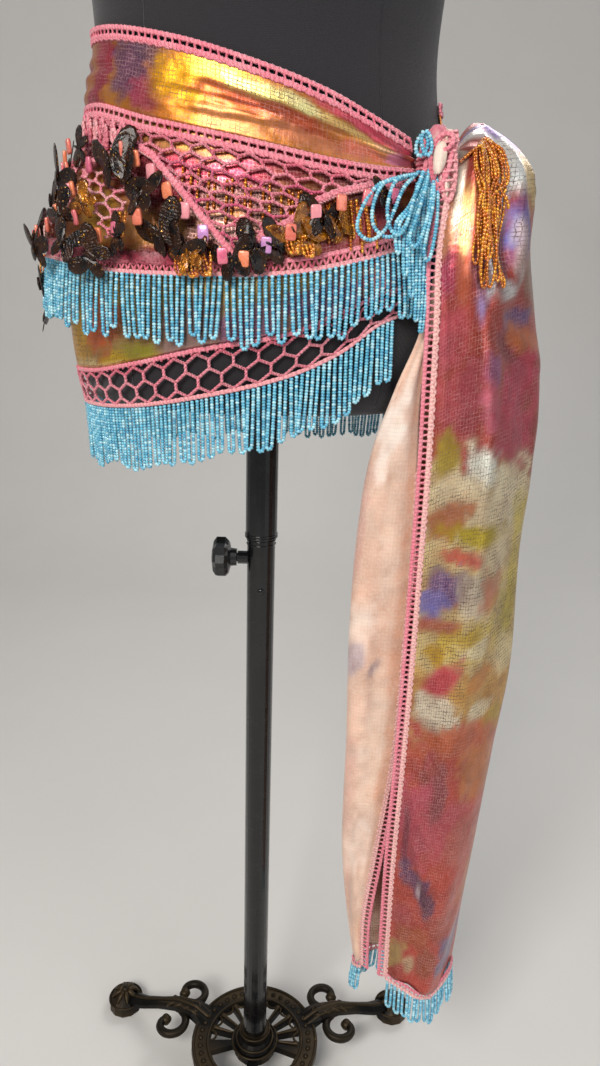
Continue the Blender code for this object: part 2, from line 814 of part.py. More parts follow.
def hem_net(name, start, end):
    """Two staggered rows of hexagons between narrow bands."""
    table = arc_turns(start, end)
    length = table[-1][0]
    cells = round(length / HEX_PITCH)
    pitch = length / cells

    def place(x, y):
        turn = turn_at(table, x)
        low, high = hem_low(turn), hem_top(turn)
        return hip_point(turn, mix(low, high, y / HEM_HEIGHT), SKIN)

    bottom = [(pitch * k, 0.0) for k in range(cells + 1)]
    top = [(pitch * k, HEM_HEIGHT) for k in range(cells, -1, -1)]
    holes = []
    wide, tall = pitch / 2 - 0.0012, 0.0068
    for k in range(cells):
        holes.append(hexagon(pitch * (k + 0.5), 0.0112, wide, tall))
        if k:
            holes.append(hexagon(pitch * k, 0.0112 + HEX_RISE, wide, tall))
    return net(name, bottom + top, holes, place, LACE, "crochet")


def string_edges(turns, width_turns):
    return [(turn - width_turns(turn) / 2, turn + width_turns(turn) / 2) for turn in turns]


def turn_width(turn, width, height=0.82):
    """How many degrees a width takes round the hips at a turn."""
    step = (hip_point(turn + 0.5, height, 0) - hip_point(turn - 0.5, height, 0)).length
    return width / step


def hip_fringe(name, start, end, count, bottom_line, out_of, height, drop):
    """Strings round the hips, parted evenly, a little uneven in length."""
    turns = even_turns(start, end, count)
    middles = [(a + b) / 2 for a, b in zip(turns, turns[1:])]
    edges = string_edges(middles, lambda turn: turn_width(turn, STRAND))

    def spot(along, up, out, k):
        level = bottom_line(along) + up
        return hip_point(along, level, out_of(along) + out)

    def drops(k):
        return (drop * (1.0 + 0.035 * math.sin(2.4 * k) + 0.03 * math.sin(0.9 * k + 1.0)),)

    tops = every_fourth(edges, (start, end))
    return fringe(name, edges, tops, spot, height, STRAND, drops, "turquoise")


def upper_fringe():
    def top(turn):
        return smooth_value(SKIRT_LOW, turn)

    def out_of(turn):
        return 0.0042 + flare(turn)

    return hip_fringe("upper_fringe", -288.0, 60.0, 76, top, out_of, HEADER, 0.0440)


def lower_fringe():
    strip = 0.0040

    def top(turn):
        return hem_low(turn) - strip - 0.0014

    def out_of(turn):
        return SKIN - 0.0004

    return hip_fringe("lower_fringe", -280.0, 39.5, 86, top, out_of, strip, 0.0450)


FAN_SCALE = 0.0026  # metres of flat net for a degree of turn
FAN_ROW = 0.0086
FAN_CELL = 6.4  # degrees
BORDER = 0.0032  # height of the corded border


def fan_low(border, turn):
    return straight_value(border, turn) + BORDER + 2 * GAP


def fan_high(turn):
    return smooth_value(BAND_SEAM, turn) - EDGING / 2 - GAP


def fan_holes(border, first, last):
    """Staggered four-sided meshes that keep clear of the fan's sides and of its border."""
    bar, edge, side = 0.0024, 0.0020, 1.5
    half_post = 0.55  # degrees
    holes = []
    for row in range(10):
        shift = 0.5 if row % 2 else 0.0
        for k in range(int((last - first) / FAN_CELL) + 1):
            left = first + (k + shift) * FAN_CELL + half_post
            right = left + FAN_CELL - 2 * half_post
            if left < first + side or right > last - side:
                continue
            tops = [fan_high(t) - bar - FAN_ROW * row for t in (left, right)]
            lows = [top - FAN_ROW + bar for top in tops]
            rooms = [low - fan_low(border, t) for low, t in zip(lows, (left, right))]
            rooms.append(lows[0] - fan_low(border, (left + right) / 2))
            if min(rooms) < edge:
                continue
            x, far = left * FAN_SCALE, right * FAN_SCALE
            holes.append([(x, lows[0]), (far, lows[1]), (far, tops[1]), (x, tops[0])])
    return holes


def fan_net(name, border):
    first, last = border[0][0], border[-1][0]
    steps = 20
    turns = [mix(first, last, k / steps) for k in range(steps + 1)]
    outline = [(row[0] * FAN_SCALE, fan_low(border, row[0])) for row in border]
    outline += [(t * FAN_SCALE, fan_high(t)) for t in reversed(turns)]

    def place(x, y):
        return hip_point(x / FAN_SCALE, y, net_out(x / FAN_SCALE, y))

    return net(name, outline, fan_holes(border, first, last), place, LACE, "crochet")


def fan_border(name, border, beads):
    """Corded border of a fan with its square beads."""
    width, length, depth = 0.0080, 0.0110, 0.0026

    def spot(along, up, out, k):
        line = straight_value(border, along)
        level = straight_value(border, beads[k]) + up if up < 0.0 else line + up
        return hip_point(along, level, net_out(along, max(level, line)) + out)

    edges = string_edges(beads, lambda turn: turn_width(turn, width, 0.92))
    tops = [row[0] for row in border]
    return fringe(name, edges, tops, spot, BORDER, depth, lambda k: (length,), "crochet")


# --- belt: sash ends and knot ---
def section_point(rows, share, height):
    """Point of a sash end: a smooth line through its five named places at that height."""
    places = []
    for column in range(1, 11, 2):
        x, y = smooth_value(rows, height, column), smooth_value(rows, height, column + 1)
        places.append(Vector((x, y, height)))
    along = min(max(share, 0.0), 1.0) * 4
    i = min(int(along), 3)
    t = along - i
    a, b = places[i], places[i + 1]
    before = places[i - 1] if i else a * 2 - b
    after = places[i + 2] if i < 3 else b * 2 - a
    start, end = (b - before) / 2, (after - a) / 2
    bend = a * (2 * t**3 - 3 * t**2 + 1) + b * (3 * t**2 - 2 * t**3)
    point = bend + start * (t**3 - 2 * t**2 + t) + end * (t**3 - t**2)
    point.z = height
    return point


def section_out(rows, share, height):
    """Unit vector away from the outer side of a sash end."""
    low, high = max(share - 0.02, 0.0), min(share + 0.02, 1.0)
    along = section_point(rows, high, height) - section_point(rows, low, height)
    return along.cross(Vector((0, 0, 1))).normalized()


def section_along(rows, share, height):
    low, high = max(share - 0.02, 0.0), min(share + 0.02, 1.0)
    return (section_point(rows, high, height) - section_point(rows, low, height)).normalized()


def tail_sheet(name, rows, hem, top, columns, levels, ripple, finish):
    def place(across, up):
        height = mix(straight_value(hem, across), smooth_value(top, across), up)
        fold = section_out(rows, across, height) * ripple(across, height)
        return section_point(rows, across, height) + fold

    return sheet(name, columns, levels, place, CLOTH, finish)


def front_ripple(across, height):
    """Soft upright folds, deeper towards the knot, none at the edge."""
    fade = ramp(0.0, 0.10, across) * ramp(0.0, 0.08, 1.0 - across)
    wave = math.sin(math.tau * (3.2 * across + 0.35 * math.sin(height * 7.0)) - 0.8)
    return (0.0022 + 0.0022 * ramp(0.55, 0.95, height)) * wave * fade * (1.0 - ramp(0.95, 1.0, height))


def rear_ripple(across, height):
    fade = ramp(0.0, 0.2, across) * ramp(0.0, 0.2, 1.0 - across) * (1.0 - ramp(0.76, 0.80, height))
    return 0.0018 * math.sin(math.tau * (2.0 * across + 0.3 * math.sin(height * 9.0))) * fade


def tail_edging(name, rows, hem, top, share, levels, used, width):
    """Crocheted ladder along a free edge of a sash end, outside the cloth, with the cloth's own levels."""
    side = -1.0 if share == 0 else 1.0

    def place(across, up):
        height = mix(smooth_value(hem, share), smooth_value(top, share), up * used / levels)
        away = side * section_along(rows, share, height)
        reach = 2 * GAP + width * ((1.0 - across) if share == 0 else across)
        return section_point(rows, share, height) + away * reach

    return sheet(name, 1, used, place, LACE, "crochet")


def tail_fringe(name, rows, hem, columns, ripple, count, drop):
    """Strings along the lower edge of a sash end; the strip's corners are the cloth's columns."""
    strip, reach = 0.0080, 0.01
    middles = [(k + 0.5) / count for k in range(count)]

    def width_share(share):
        level = straight_value(hem, share)
        low, high = share - reach, share + reach
        step = (section_point(rows, high, level) - section_point(rows, low, level)).length
        return STRAND / step * 2 * reach

    def drops(k):
        return (drop * (1.0 + 0.13 * math.sin(9.0 * middles[k])),)

    edges = string_edges(middles, width_share)

    def spot(along, up, out, k):
        line = straight_value(hem, along)
        away = section_out(rows, along, line) * (ripple(along, line) + out)
        point = section_point(rows, along, line) + away
        point.z = line - 2 * GAP - strip + up
        return point

    tops = [k / columns for k in range(columns + 1)]
    return fringe(name, edges, tops, spot, strip, STRAND * 0.8, drops, "turquoise")


KNOT_TURN, KNOT_HEIGHT, KNOT_OUT = 51.0, 0.9600, 0.0183
KNOT_ROWS = (  # height above the knot's middle, radius
    (-0.0220, 0.0060),
    (-0.0160, 0.0105),
    (-0.0050, 0.0118),
    (0.0070, 0.0108),
    (0.0170, 0.0090),
    (0.0250, 0.0050),
)


def knot():
    """Gathered cloth of the tie: an upright bundle with creases."""
    middle = hip_point(KNOT_TURN, KNOT_HEIGHT, KNOT_OUT)
    rings = []
    for rise, size in KNOT_ROWS:
        ring = []
        for k in range(12):
            angle = math.tau * k / 12
            reach = size * (1.0 + 0.10 * math.cos(4 * angle + rise * 90.0))
            ring.append(middle + Vector((reach * math.cos(angle), reach * math.sin(angle), rise)))
        rings.append(ring)
    return loft("knot", rings, "crochet")


def knot_strings():
    """Strings of the tied end of the upper fringe, hanging from the knot over the hip."""
    count = 10
    middles = [k / (count - 1) for k in range(count)]
    half = 0.0012 / 0.030

    def spot(along, up, out, k):
        turn = mix(31.0, 43.0, along) - 7.0 * ramp(0.0, 0.07, -up) * (1.0 - along)
        level = mix(0.9420, 0.9500, along) + up
        reach = 0.0120 + 0.0030 * along + 0.0030 * ramp(0.0, 0.04, -up)
        return hip_point(turn, level, reach + out)

    edges = [(0.045 + 0.91 * m - half, 0.045 + 0.91 * m + half) for m in middles]
    lengths = (0.036, 0.040, 0.038, 0.052, 0.050, 0.060, 0.072, 0.086, 0.100, 0.098)
    tops = every_fourth(edges, (0.0, 1.0))

    def drops(k):
        return lengths[k] / 2, lengths[k]

    return fringe("knot_strings", edges, tops, spot, 0.0040, STRAND, drops, "turquoise")


def amber_strings():
    """Bundle of amber strings laid over the shoulder of the sash beside the knot."""
    count = 12
    middles = [k / (count - 1) for k in range(count)]
    half = 0.0011 / 0.034

    def spot(along, up, out, k):
        level = 0.9800 + up
        share = mix(0.14, 0.33, along)
        down = ramp(0.0, 0.09, -up)
        share = mix(share, 0.26 + 0.09 * (along - 0.5), down)
        point = section_point(TAIL_FRONT, share, level)
        away = section_out(TAIL_FRONT, share, level)
        return point + away * (0.0038 + out)

    edges = [(0.04 + 0.92 * m - half, 0.04 + 0.92 * m + half) for m in middles]
    lengths = (0.070, 0.078, 0.092, 0.084, 0.100, 0.094, 0.106, 0.098, 0.110, 0.088, 0.096, 0.082)
    tops = every_fourth(edges, (0.0, 1.0))

    def drops(k):
        return 0.020, lengths[k] * 0.6, lengths[k]

    return fringe("amber_strings", edges, tops, spot, 0.0040, 0.0022, drops, "amber")


def belt():
    upper_band()
    band_edging("band_top_edging", BAND_TOP, 1.0)
    band_edging("band_seam_edging", BAND_SEAM, 0.0)
    skirt_panel()
    hem_panel()
    upper_fringe()
    hem_net("hem_net_front", -125.0, 60.0)
    hem_net("hem_net_back", -288.0, -125.3)
    lower_fringe()
    fan_net("front_fan", FRONT_FAN)
    fan_net("side_fan", SIDE_FAN)
    fan_border("front_fan_border", FRONT_FAN, FRONT_BEADS)
    fan_border("side_fan_border", SIDE_FAN, SIDE_BEADS)


def sash():
    front = (TAIL_FRONT, TAIL_FRONT_HEM, TAIL_FRONT_TOP)
    rear = (TAIL_REAR, TAIL_REAR_HEM, TAIL_REAR_TOP)
    tail_sheet("sash_front_end", *front, 12, 15, front_ripple, "foil")
    tail_sheet("sash_rear_end", *rear, 10, 14, rear_ripple, "cream")
    tail_edging("sash_front_edging", *front, 0, 15, 14, 0.0105)
    tail_edging("sash_rear_edging", *rear, 1, 14, 10, 0.0080)
    tail_fringe("sash_front_fringe", TAIL_FRONT, TAIL_FRONT_HEM, 12, front_ripple, 22, 0.028)
    tail_fringe("sash_rear_fringe", TAIL_REAR, TAIL_REAR_HEM, 10, rear_ripple, 10, 0.026)
    knot()
    knot_strings()
    amber_strings()


def stand_on_origin(holder):
    """Moves the whole object so that its box stands on the origin, centred."""
    bpy.context.view_layer.update()
    graph = bpy.context.evaluated_depsgraph_get()
    corners = []
    for made in BELT.objects:
        if made.type != "MESH":
            continue
        ready = made.evaluated_get(graph)
        corners += [ready.matrix_world @ Vector(corner) for corner in ready.bound_box]
    for made in BELT.objects:
        if made is not holder and made.parent is None:
            made.parent = holder
    for made in CUTTERS.objects:
        made.parent = holder
    middle = [(max(c[k] for c in corners) + min(c[k] for c in corners)) / 2 for k in range(2)]
    holder.location = (-middle[0], -middle[1], 0.0)


clear_scene()
BELT = new_collection("hip_belt_on_form")
CUTTERS = new_collection("cutters")
CUTTERS.hide_render = True
base()
lower_tube()
knob()
form_rod()
form_sleeve()
torso()
neck_cap()
belt()
sash()
stand = bpy.data.objects.new("hip_belt", None)
BELT.objects.link(stand)
stand_on_origin(stand)
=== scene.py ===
# Belly dance hip belt on a dress form with a cast foot, dressed round the fixed frame.
import math

import bmesh
import bpy
import numpy as np
from mathutils import Matrix, Vector


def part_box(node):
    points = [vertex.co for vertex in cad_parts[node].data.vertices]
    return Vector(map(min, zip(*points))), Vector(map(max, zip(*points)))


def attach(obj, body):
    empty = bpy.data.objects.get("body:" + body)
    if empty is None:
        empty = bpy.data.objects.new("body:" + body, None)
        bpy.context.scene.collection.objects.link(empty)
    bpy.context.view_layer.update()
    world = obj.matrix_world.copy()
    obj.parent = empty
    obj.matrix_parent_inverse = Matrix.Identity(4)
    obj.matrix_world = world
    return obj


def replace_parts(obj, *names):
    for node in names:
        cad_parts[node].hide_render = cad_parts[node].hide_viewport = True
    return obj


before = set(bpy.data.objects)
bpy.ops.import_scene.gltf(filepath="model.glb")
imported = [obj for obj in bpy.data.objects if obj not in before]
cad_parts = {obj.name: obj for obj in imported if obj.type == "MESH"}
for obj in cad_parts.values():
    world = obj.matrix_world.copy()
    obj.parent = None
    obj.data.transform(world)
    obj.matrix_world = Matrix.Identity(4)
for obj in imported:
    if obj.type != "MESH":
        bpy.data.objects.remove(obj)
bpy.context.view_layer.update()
poleLow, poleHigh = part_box("inner_rod")
# everything below is drawn round the pole, and moved to the frame's own origin at the end
pole = np.array([(poleLow.x + poleHigh.x) / 2, (poleLow.y + poleHigh.y) / 2, 0.0])
upward = np.array([0.0, 0.0, 1.0])

# camera: metres beside and before the pole, degrees, millimetres of lens
camera = {"side": 0.0357, "away": -0.68, "height": 0.863, "tilt": 73.0, "roll": 1.64, "lens": 26.0}
lensData = bpy.data.cameras.new("viewCamera")
lensData.lens = camera["lens"]
lensData.sensor_width = 36.0
lensData.clip_start = 0.02
viewCamera = bpy.data.objects.new("viewCamera", lensData)
bpy.context.scene.collection.objects.link(viewCamera)
viewCamera.matrix_world = (
    Matrix.Translation((pole[0] + camera["side"], pole[1] + camera["away"], camera["height"]))
    @ Matrix.Rotation(math.radians(camera["tilt"]), 4, "X")
    @ Matrix.Rotation(math.radians(camera["roll"]), 4, "Z")
)
bpy.context.scene.camera = viewCamera
print("camera set")


# numbers along tables
def mixValue(a, b, t):
    return a + (b - a) * t


def ramp(low, high, x):
    t = np.clip((np.asarray(x, float) - low) / (high - low), 0.0, 1.0)
    return t * t * (3 - 2 * t)


def bell(x):
    return np.exp(-(x**2))


def bendValue(a, b, c, d, t):
    # smooth curve from b to c, where a comes before and d after
    return (b * (2 * t**3 - 3 * t**2 + 1) + c * (3 * t**2 - 2 * t**3)
            + (c - a) / 2 * (t**3 - 2 * t**2 + t) + (d - b) / 2 * (t**3 - t**2))


def rowValue(rows, at, column=1):
    # smooth curve through the rows of a table whose first column rises
    xs, ys = np.array([(row[0], row[column]) for row in rows], float).T
    last = len(xs) - 1
    at = np.clip(np.asarray(at, float), xs[0], xs[last])
    i = np.clip(np.searchsorted(xs, at, side="right") - 1, 0, last - 1)
    before, after = np.maximum(np.arange(-1, last), 0), np.minimum(np.arange(1, last + 2), last)
    slopes = (ys[after] - ys[before]) / (xs[after] - xs[before])
    span = xs[i + 1] - xs[i]
    t = (at - xs[i]) / span
    return ((2 * t**3 - 3 * t**2 + 1) * ys[i] + (t**3 - 2 * t**2 + t) * span * slopes[i]
            + (3 * t**2 - 2 * t**3) * ys[i + 1] + (t**3 - t**2) * span * slopes[i + 1])


def straightValue(rows, at):
    return np.interp(at, [row[0] for row in rows], [row[1] for row in rows])


def cloudNoise(x, y, seed):
    # soft value noise from -0.5 to 0.5, about one blot for each unit
    size = 61
    lattice = np.random.default_rng(seed).random((size, size))
    x, y = np.broadcast_arrays(np.asarray(x, float), np.asarray(y, float))
    i, j = np.floor(x).astype(int), np.floor(y).astype(int)
    fx, fy = ramp(0, 1, x - i), ramp(0, 1, y - j)
    a, b, c, d = (lattice[(i + right) % size, (j + above) % size] for above in (0, 1) for right in (0, 1))
    return mixValue(mixValue(a, b, fx), mixValue(c, d, fx), fy) - 0.5


# the hips that the belt goes round, in millimetres: height, half width, half depth
hipRows = np.array((
    (680, 139, 98), (740, 144.5, 102.5), (775, 150, 107.5), (800, 155, 112), (840, 159.2, 116.2),
    (880, 158.2, 115.2), (920, 152, 110), (960, 143, 103), (1000, 135, 97), (1030, 131.5, 94),
    (1060, 132, 95), (1100, 136, 99),
)) / 1000
# middle of the edging over the band, middle of the seam under it, top of the upper fringe: turn, height
bandTop = (
    (-284, 1.003), (-250, 1.012), (-215, 1.028), (-180, 1.04), (-140, 1.048), (-100, 1.048), (-57, 1.04),
    (-26, 1.026), (-3, 1.011), (20, 0.994), (36, 0.979), (47, 0.969),
)
bandSeam = (
    (-284, 0.953), (-250, 0.96), (-215, 0.97), (-180, 0.98), (-140, 0.989), (-100, 0.992), (-59, 0.99),
    (-30, 0.974), (-2, 0.96), (18, 0.951), (33, 0.948), (47, 0.949),
)
skirtLow = (
    (-290, 0.916), (-250, 0.905), (-215, 0.897), (-180, 0.893), (-140, 0.892), (-100, 0.891), (-77, 0.888),
    (-56, 0.883), (-39, 0.877), (-12, 0.8755), (8, 0.878), (26, 0.888), (45, 0.902), (62, 0.914),
)
# hexagon hem by the angle from its lowest side: angle, bottom, top
hemRows = (
    (0, 0.773, 0.802), (68, 0.7755, 0.805), (90, 0.78, 0.814), (111, 0.7905, 0.827), (133, 0.8065, 0.839),
    (147, 0.824, 0.855), (160, 0.847, 0.869), (187, 0.864, 0.885),
)
# lower borders of the two crocheted fans and of a small one under them: turn, height
frontFan = (
    (-43, 0.97), (-29, 0.953), (-19, 0.929), (-12, 0.909), (-5, 0.888), (1, 0.9), (8, 0.911), (14, 0.924),
    (21, 0.932), (30, 0.9375), (42, 0.939),
)
sideFan = (
    (-136, 0.978), (-120, 0.956), (-104, 0.928), (-90, 0.914), (-80, 0.908), (-72, 0.912), (-64, 0.919),
    (-57, 0.937), (-47, 0.969),
)
smallFan = (
    (-60, 0.956), (-53, 0.933), (-46, 0.909), (-41, 0.897), (-37, 0.914), (-33, 0.944),
)
belt = {
    "bandEnds": (-284.0, 47.0), "panelEnds": (-290.0, 62.0), "headerEnds": (-288.0, 60.0),
    "edging": 0.0080, "hemLowTurn": -125.0,
    # the skirt stands away from the hip round one turn
    "flare": 0.0150, "flareTurn": -88.0, "flareSpread": 62.0,
    # gaps off the hip: of the lowest cloth, the skirt, the nets, and the band at its seam and above
    "skin": 0.0016, "skirtGap": 0.0041, "netGap": 0.0048, "netLoose": 0.0052, "bandGap": (0.0045, 0.0018),
    "bandFolds": ((0.16, 0.0022), (0.42, 0.0030), (0.68, 0.0025)),  # share up, height of each fold
}


def hipPoint(turn, height, out):
    turn, height, out = np.broadcast_arrays(*(np.asarray(v, float) for v in (turn, height, out)))
    wide, deep = rowValue(hipRows, height, 1) + out, rowValue(hipRows, height, 2) + out
    angle = np.radians(turn)
    return np.stack([wide * np.sin(angle), -deep * np.cos(angle), height], -1)


def arcTable(start, end, height):
    # lengths round the hips against turns, a degree apart
    turns = np.linspace(start, end, int(abs(end - start)) + 1)
    return along(hipPoint(turns, height, 0.006)), turns


def hemLevel(turn, column):
    return rowValue(hemRows, np.abs((turn - belt["hemLowTurn"] + 180.0) % 360.0 - 180.0), column)


def hemLow(turn):
    return hemLevel(turn, 1)


def hemTop(turn):
    return hemLevel(turn, 2)


def skirtEdge(turn):
    return rowValue(skirtLow, turn)


def seamLevel(turn):
    return rowValue(bandSeam, turn)


def flareAt(turn):
    away = (turn - belt["flareTurn"] + 180.0) % 360.0 - 180.0
    wave = np.cos(np.radians(90.0 * away / belt["flareSpread"])) ** 2
    return np.where(np.abs(away) > belt["flareSpread"], 0.0, belt["flare"] * wave)


def skirtShare(turn, height):
    seam = seamLevel(turn)
    return np.maximum((seam - height) / (seam - skirtEdge(turn)), 0.0)


def skirtOut(turn, height):
    gap = mixValue(belt["skirtGap"], belt["skin"], ramp(0.018, 0.034, height - skirtEdge(turn)))
    return gap + flareAt(turn) * skirtShare(turn, height) ** 2


def netOut(turn, height):
    share = skirtShare(turn, height)
    return belt["netGap"] + belt["netLoose"] * share + flareAt(turn) * np.minimum(share * 1.15, 1.0) ** 2


def bandLevel(turn, share):
    half = belt["edging"] / 2
    return mixValue(seamLevel(turn) + half, rowValue(bandTop, turn) - half, share)


def bandOut(turn, share):
    # long folds that run together into the knot
    spreadOut = np.clip((belt["bandEnds"][1] - turn) / 105.0, 0.12, 1.0)
    rise = 0.0
    for place, size in belt["bandFolds"]:
        rise = rise + size * bell((share - mixValue(0.5, place, spreadOut)) / (0.035 + 0.055 * spreadOut))
    above = bandLevel(turn, share) - seamLevel(turn)
    gap = mixValue(*belt["bandGap"], ramp(0.015, 0.035, above))
    return gap + rise * (0.65 + 0.35 * np.cos(np.radians(turn * 5.0)))


# meshes
def unit(vectors):
    return vectors / np.maximum(np.linalg.norm(vectors, axis=-1, keepdims=True), 1e-9)


def along(path):
    steps = np.linalg.norm(np.diff(path, axis=0), axis=1)
    return np.concatenate([[0.0], np.cumsum(steps)])


def resample(path, step):
    path = np.asarray(path, float)
    distance = along(path)
    even = np.linspace(0.0, distance[-1], max(int(round(distance[-1] / step)), 2) + 1)
    return np.stack([np.interp(even, distance, values) for values in path.T], 1), even


def newHeap():
    return {"points": [], "faces": {}, "uv": [], "dye": [], "count": 0}


def addTo(heap, points, faceSets, uv, dye):
    for faces in faceSets:
        heap["faces"].setdefault(faces.shape[1], []).append(faces + heap["count"])
    heap["points"].append(points)
    heap["uv"].append(uv)
    heap["dye"].append(np.broadcast_to(dye, (len(points), 3)))
    heap["count"] += len(points)


def heapPiece(name, heap, looks, replaced=None, body="form"):
    # one piece from a heap; looks are finishes, and replaced is the fixed solid that it stands for
    looks = looks if isinstance(looks, tuple) else (looks,)
    mesh = bpy.data.meshes.new(name)
    points = np.concatenate(heap["points"]) + pole
    faceSets = [np.concatenate(sets) for sets in heap["faces"].values()]
    corners = np.concatenate([faces.ravel() for faces in faceSets]).astype(np.int32)
    totals = np.concatenate([np.full(len(faces), faces.shape[1]) for faces in faceSets])
    mesh.vertices.add(len(points))
    mesh.vertices.foreach_set("co", points.astype(np.float32).ravel())
    mesh.loops.add(len(corners))
    mesh.loops.foreach_set("vertex_index", corners)
    mesh.polygons.add(len(totals))
    mesh.polygons.foreach_set("loop_start", np.concatenate([[0], np.cumsum(totals)[:-1]]).astype(np.int32))
    mesh.update(calc_edges=True)
    layer = mesh.uv_layers.new(name="weave")
    layer.data.foreach_set("uv", np.concatenate(heap["uv"])[corners].astype(np.float32).ravel())
    dye = np.concatenate([np.concatenate(heap["dye"]), np.ones((len(points), 1))], 1)
    dyes = mesh.attributes.new("dye", "FLOAT_COLOR", "POINT")
    dyes.data.foreach_set("color", dye.astype(np.float32).ravel())
    mesh.validate()
    mesh.shade_smooth()
    for look in looks:
        mesh.materials.append(finish[look])
    piece = bpy.data.objects.new(name, mesh)
    bpy.context.scene.collection.objects.link(piece)
    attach(piece, body)
    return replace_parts(piece, replaced) if replaced else piece


def shareGrid(columns, rows, low=0.0):
    # shares across and up at the points of a grid
    across, up = np.meshgrid(np.linspace(low, 1, columns + 1), np.linspace(low, 1, rows + 1))
    return across.ravel(), up.ravel()


def gridFaces(columns, rows):
    # faces of a grid of (rows + 1) lines of (columns + 1) points
    j, i = np.mgrid[:rows, :columns]
    a = (j * (columns + 1) + i).ravel()
    return np.stack([a, a + 1, a + columns + 2, a + columns + 1], 1)


def addWall(piece, thickness):
    wall = piece.modifiers.new("cloth", "SOLIDIFY")
    wall.thickness = thickness
    return wall


def clothPiece(name, columns, rows, place, paint, size, looks, replaced):
    # place and paint take shares across and up; size is the cloth's flat width and length, for its weave
    across, up = shareGrid(columns, rows)
    heap = newHeap()
    uv = np.stack([across * size[0], up * size[1]], 1)
    addTo(heap, place(across, up), [gridFaces(columns, rows)], uv, paint(across, up))
    piece = heapPiece(name, heap, looks, replaced)
    wall = addWall(piece, 0.0009)
    wall.offset = 1.0
    wall.material_offset = 1
    wall.use_even_offset = False
    return piece


def closedPiece(name, columns, rows, shape, look, replaced):
    # a body closed at both ends; shape gives its points, weave and dye from shares around and up
    heap = newHeap()
    points, uv, dye = shape(*shareGrid(columns, rows))
    caps = np.stack([np.arange(columns)[::-1], rows * (columns + 1) + np.arange(columns)])
    addTo(heap, points, [gridFaces(columns, rows), caps], uv, dye)
    piece = heapPiece(name, heap, look, replaced)
    weld = bmesh.new()
    weld.from_mesh(piece.data)
    bmesh.ops.remove_doubles(weld, verts=weld.verts, dist=0.00002)
    weld.to_mesh(piece.data)
    weld.free()
    return piece


def addRings(heap, rings, uv, dye, flip=False):
    # strips of rings by copy, level, corner and axis, with both ends of each strip closed
    copies, levels, corners = rings.shape[:3]
    j, i = np.mgrid[:levels - 1, :corners]
    a, b = (j * corners + i).ravel(), (j * corners + (i + 1) % corners).ravel()
    quads = np.stack([a, b, b + corners, a + corners] if flip else [a, a + corners, b + corners, b], 1)
    caps = np.stack([np.arange(corners), levels * corners - 1 - np.arange(corners)])[:, ::-1 if flip else 1]
    first = (np.arange(copies) * levels * corners)[:, None, None]
    faceSets = [(faces + first).reshape(-1, faces.shape[1]) for faces in (quads, caps)]
    dye = np.asarray(dye)
    if dye.ndim > 1:  # a colour for each copy, or for each ring of a single one
        dye = np.repeat(dye, copies * levels * corners // len(dye), axis=0)
    addTo(heap, rings.reshape(-1, 3), faceSets, uv, dye)


def roundRings(centres, tangents, outward, radius, sides):
    angle = (math.tau * np.arange(sides) / sides)[:, None]
    across = unit(np.cross(tangents, outward))
    up = np.cross(across, tangents)
    spokes = np.cos(angle) * across[..., None, :] + np.sin(angle) * up[..., None, :]
    return centres[..., None, :] + np.asarray(radius)[..., None, None] * spokes


def addTube(heap, points, outward, radius, sides, dye, distance=None):
    # round strand with closed ends; outward keeps its rings from turning
    count = len(points)
    distance = along(points) if distance is None else distance
    radius = np.broadcast_to(radius, (count,))
    rings = roundRings(points, unit(np.gradient(points, axis=0)), outward, radius, sides)
    uv = np.stack([np.repeat(distance, sides), np.tile(np.arange(sides) / sides, count)], 1)
    addRings(heap, rings[None], uv, dye)


# seed bead: radius and place along the string of each ring, as shares
beadRings = ((0.60, -0.47), (1.03, 0.0), (0.60, 0.47))


def addBeads(heap, centres, tangents, outward, radius, length, dye, sides=5, profile=beadRings):
    # the same small turned bead at many places
    centres = np.atleast_2d(centres)
    count = len(centres)
    tangents, outward = (np.broadcast_to(v, (count, 3))[:, None] for v in (tangents, outward))
    radius, length = (np.broadcast_to(v, (count,))[:, None] for v in (radius, length))
    wide, place = np.array(profile).T
    middles = centres[:, None] + (length * place)[..., None] * tangents
    rings = roundRings(middles, tangents, outward, radius * wide, sides)
    uv = np.stack([np.tile(np.arange(sides) / sides, len(wide) * count),
                   np.repeat(np.arange(count * len(wide)), sides) * 0.1], 1)
    addRings(heap, rings, uv, dye)


crochetLook = {
    "border": {"plies": 3, "period": 0.0048, "wide": 0.00125, "deep": 0.0006, "radius": 0.00088, "sides": 4},
    "thick": {"plies": 3, "period": 0.0056, "wide": 0.00170, "deep": 0.0009, "radius": 0.00115, "sides": 4},
    "net": {"plies": 2, "period": 0.0044, "wide": 0.00066, "deep": 0.0007, "radius": 0.00088, "sides": 3},
    "rung": {"plies": 1, "period": 0.0060, "wide": 0.0, "deep": 0.0, "radius": 0.00092, "sides": 5},
}
yarnSeed = np.random.default_rng(31)


def addYarn(heap, place, path, lift, look, dye):
    # plaited or twisted crochet yarn along a path in the flat, bent round by place(s, h, out)
    look = crochetLook[look]
    line, distance = resample(path, look["period"] / 4)
    tangent = unit(np.gradient(line, axis=0))
    start = yarnSeed.random()
    for ply in range(look["plies"]):
        phase = math.tau * (distance / look["period"] + ply / look["plies"] + start)
        side = look["wide"] * np.cos(phase)
        out = lift + look["deep"] * np.sin(phase * (2 if look["plies"] == 3 else 1))
        s, h = line[:, 0] - tangent[:, 1] * side, line[:, 1] + tangent[:, 0] * side
        points = place(s, h, out)
        shade = 1.0 + 0.16 * cloudNoise(distance * 160 + ply * 9.7, start * 40, 5)
        addTube(heap, points, place(s, h, out + 0.001) - points, look["radius"], look["sides"],
                shade[:, None] * dye, distance)


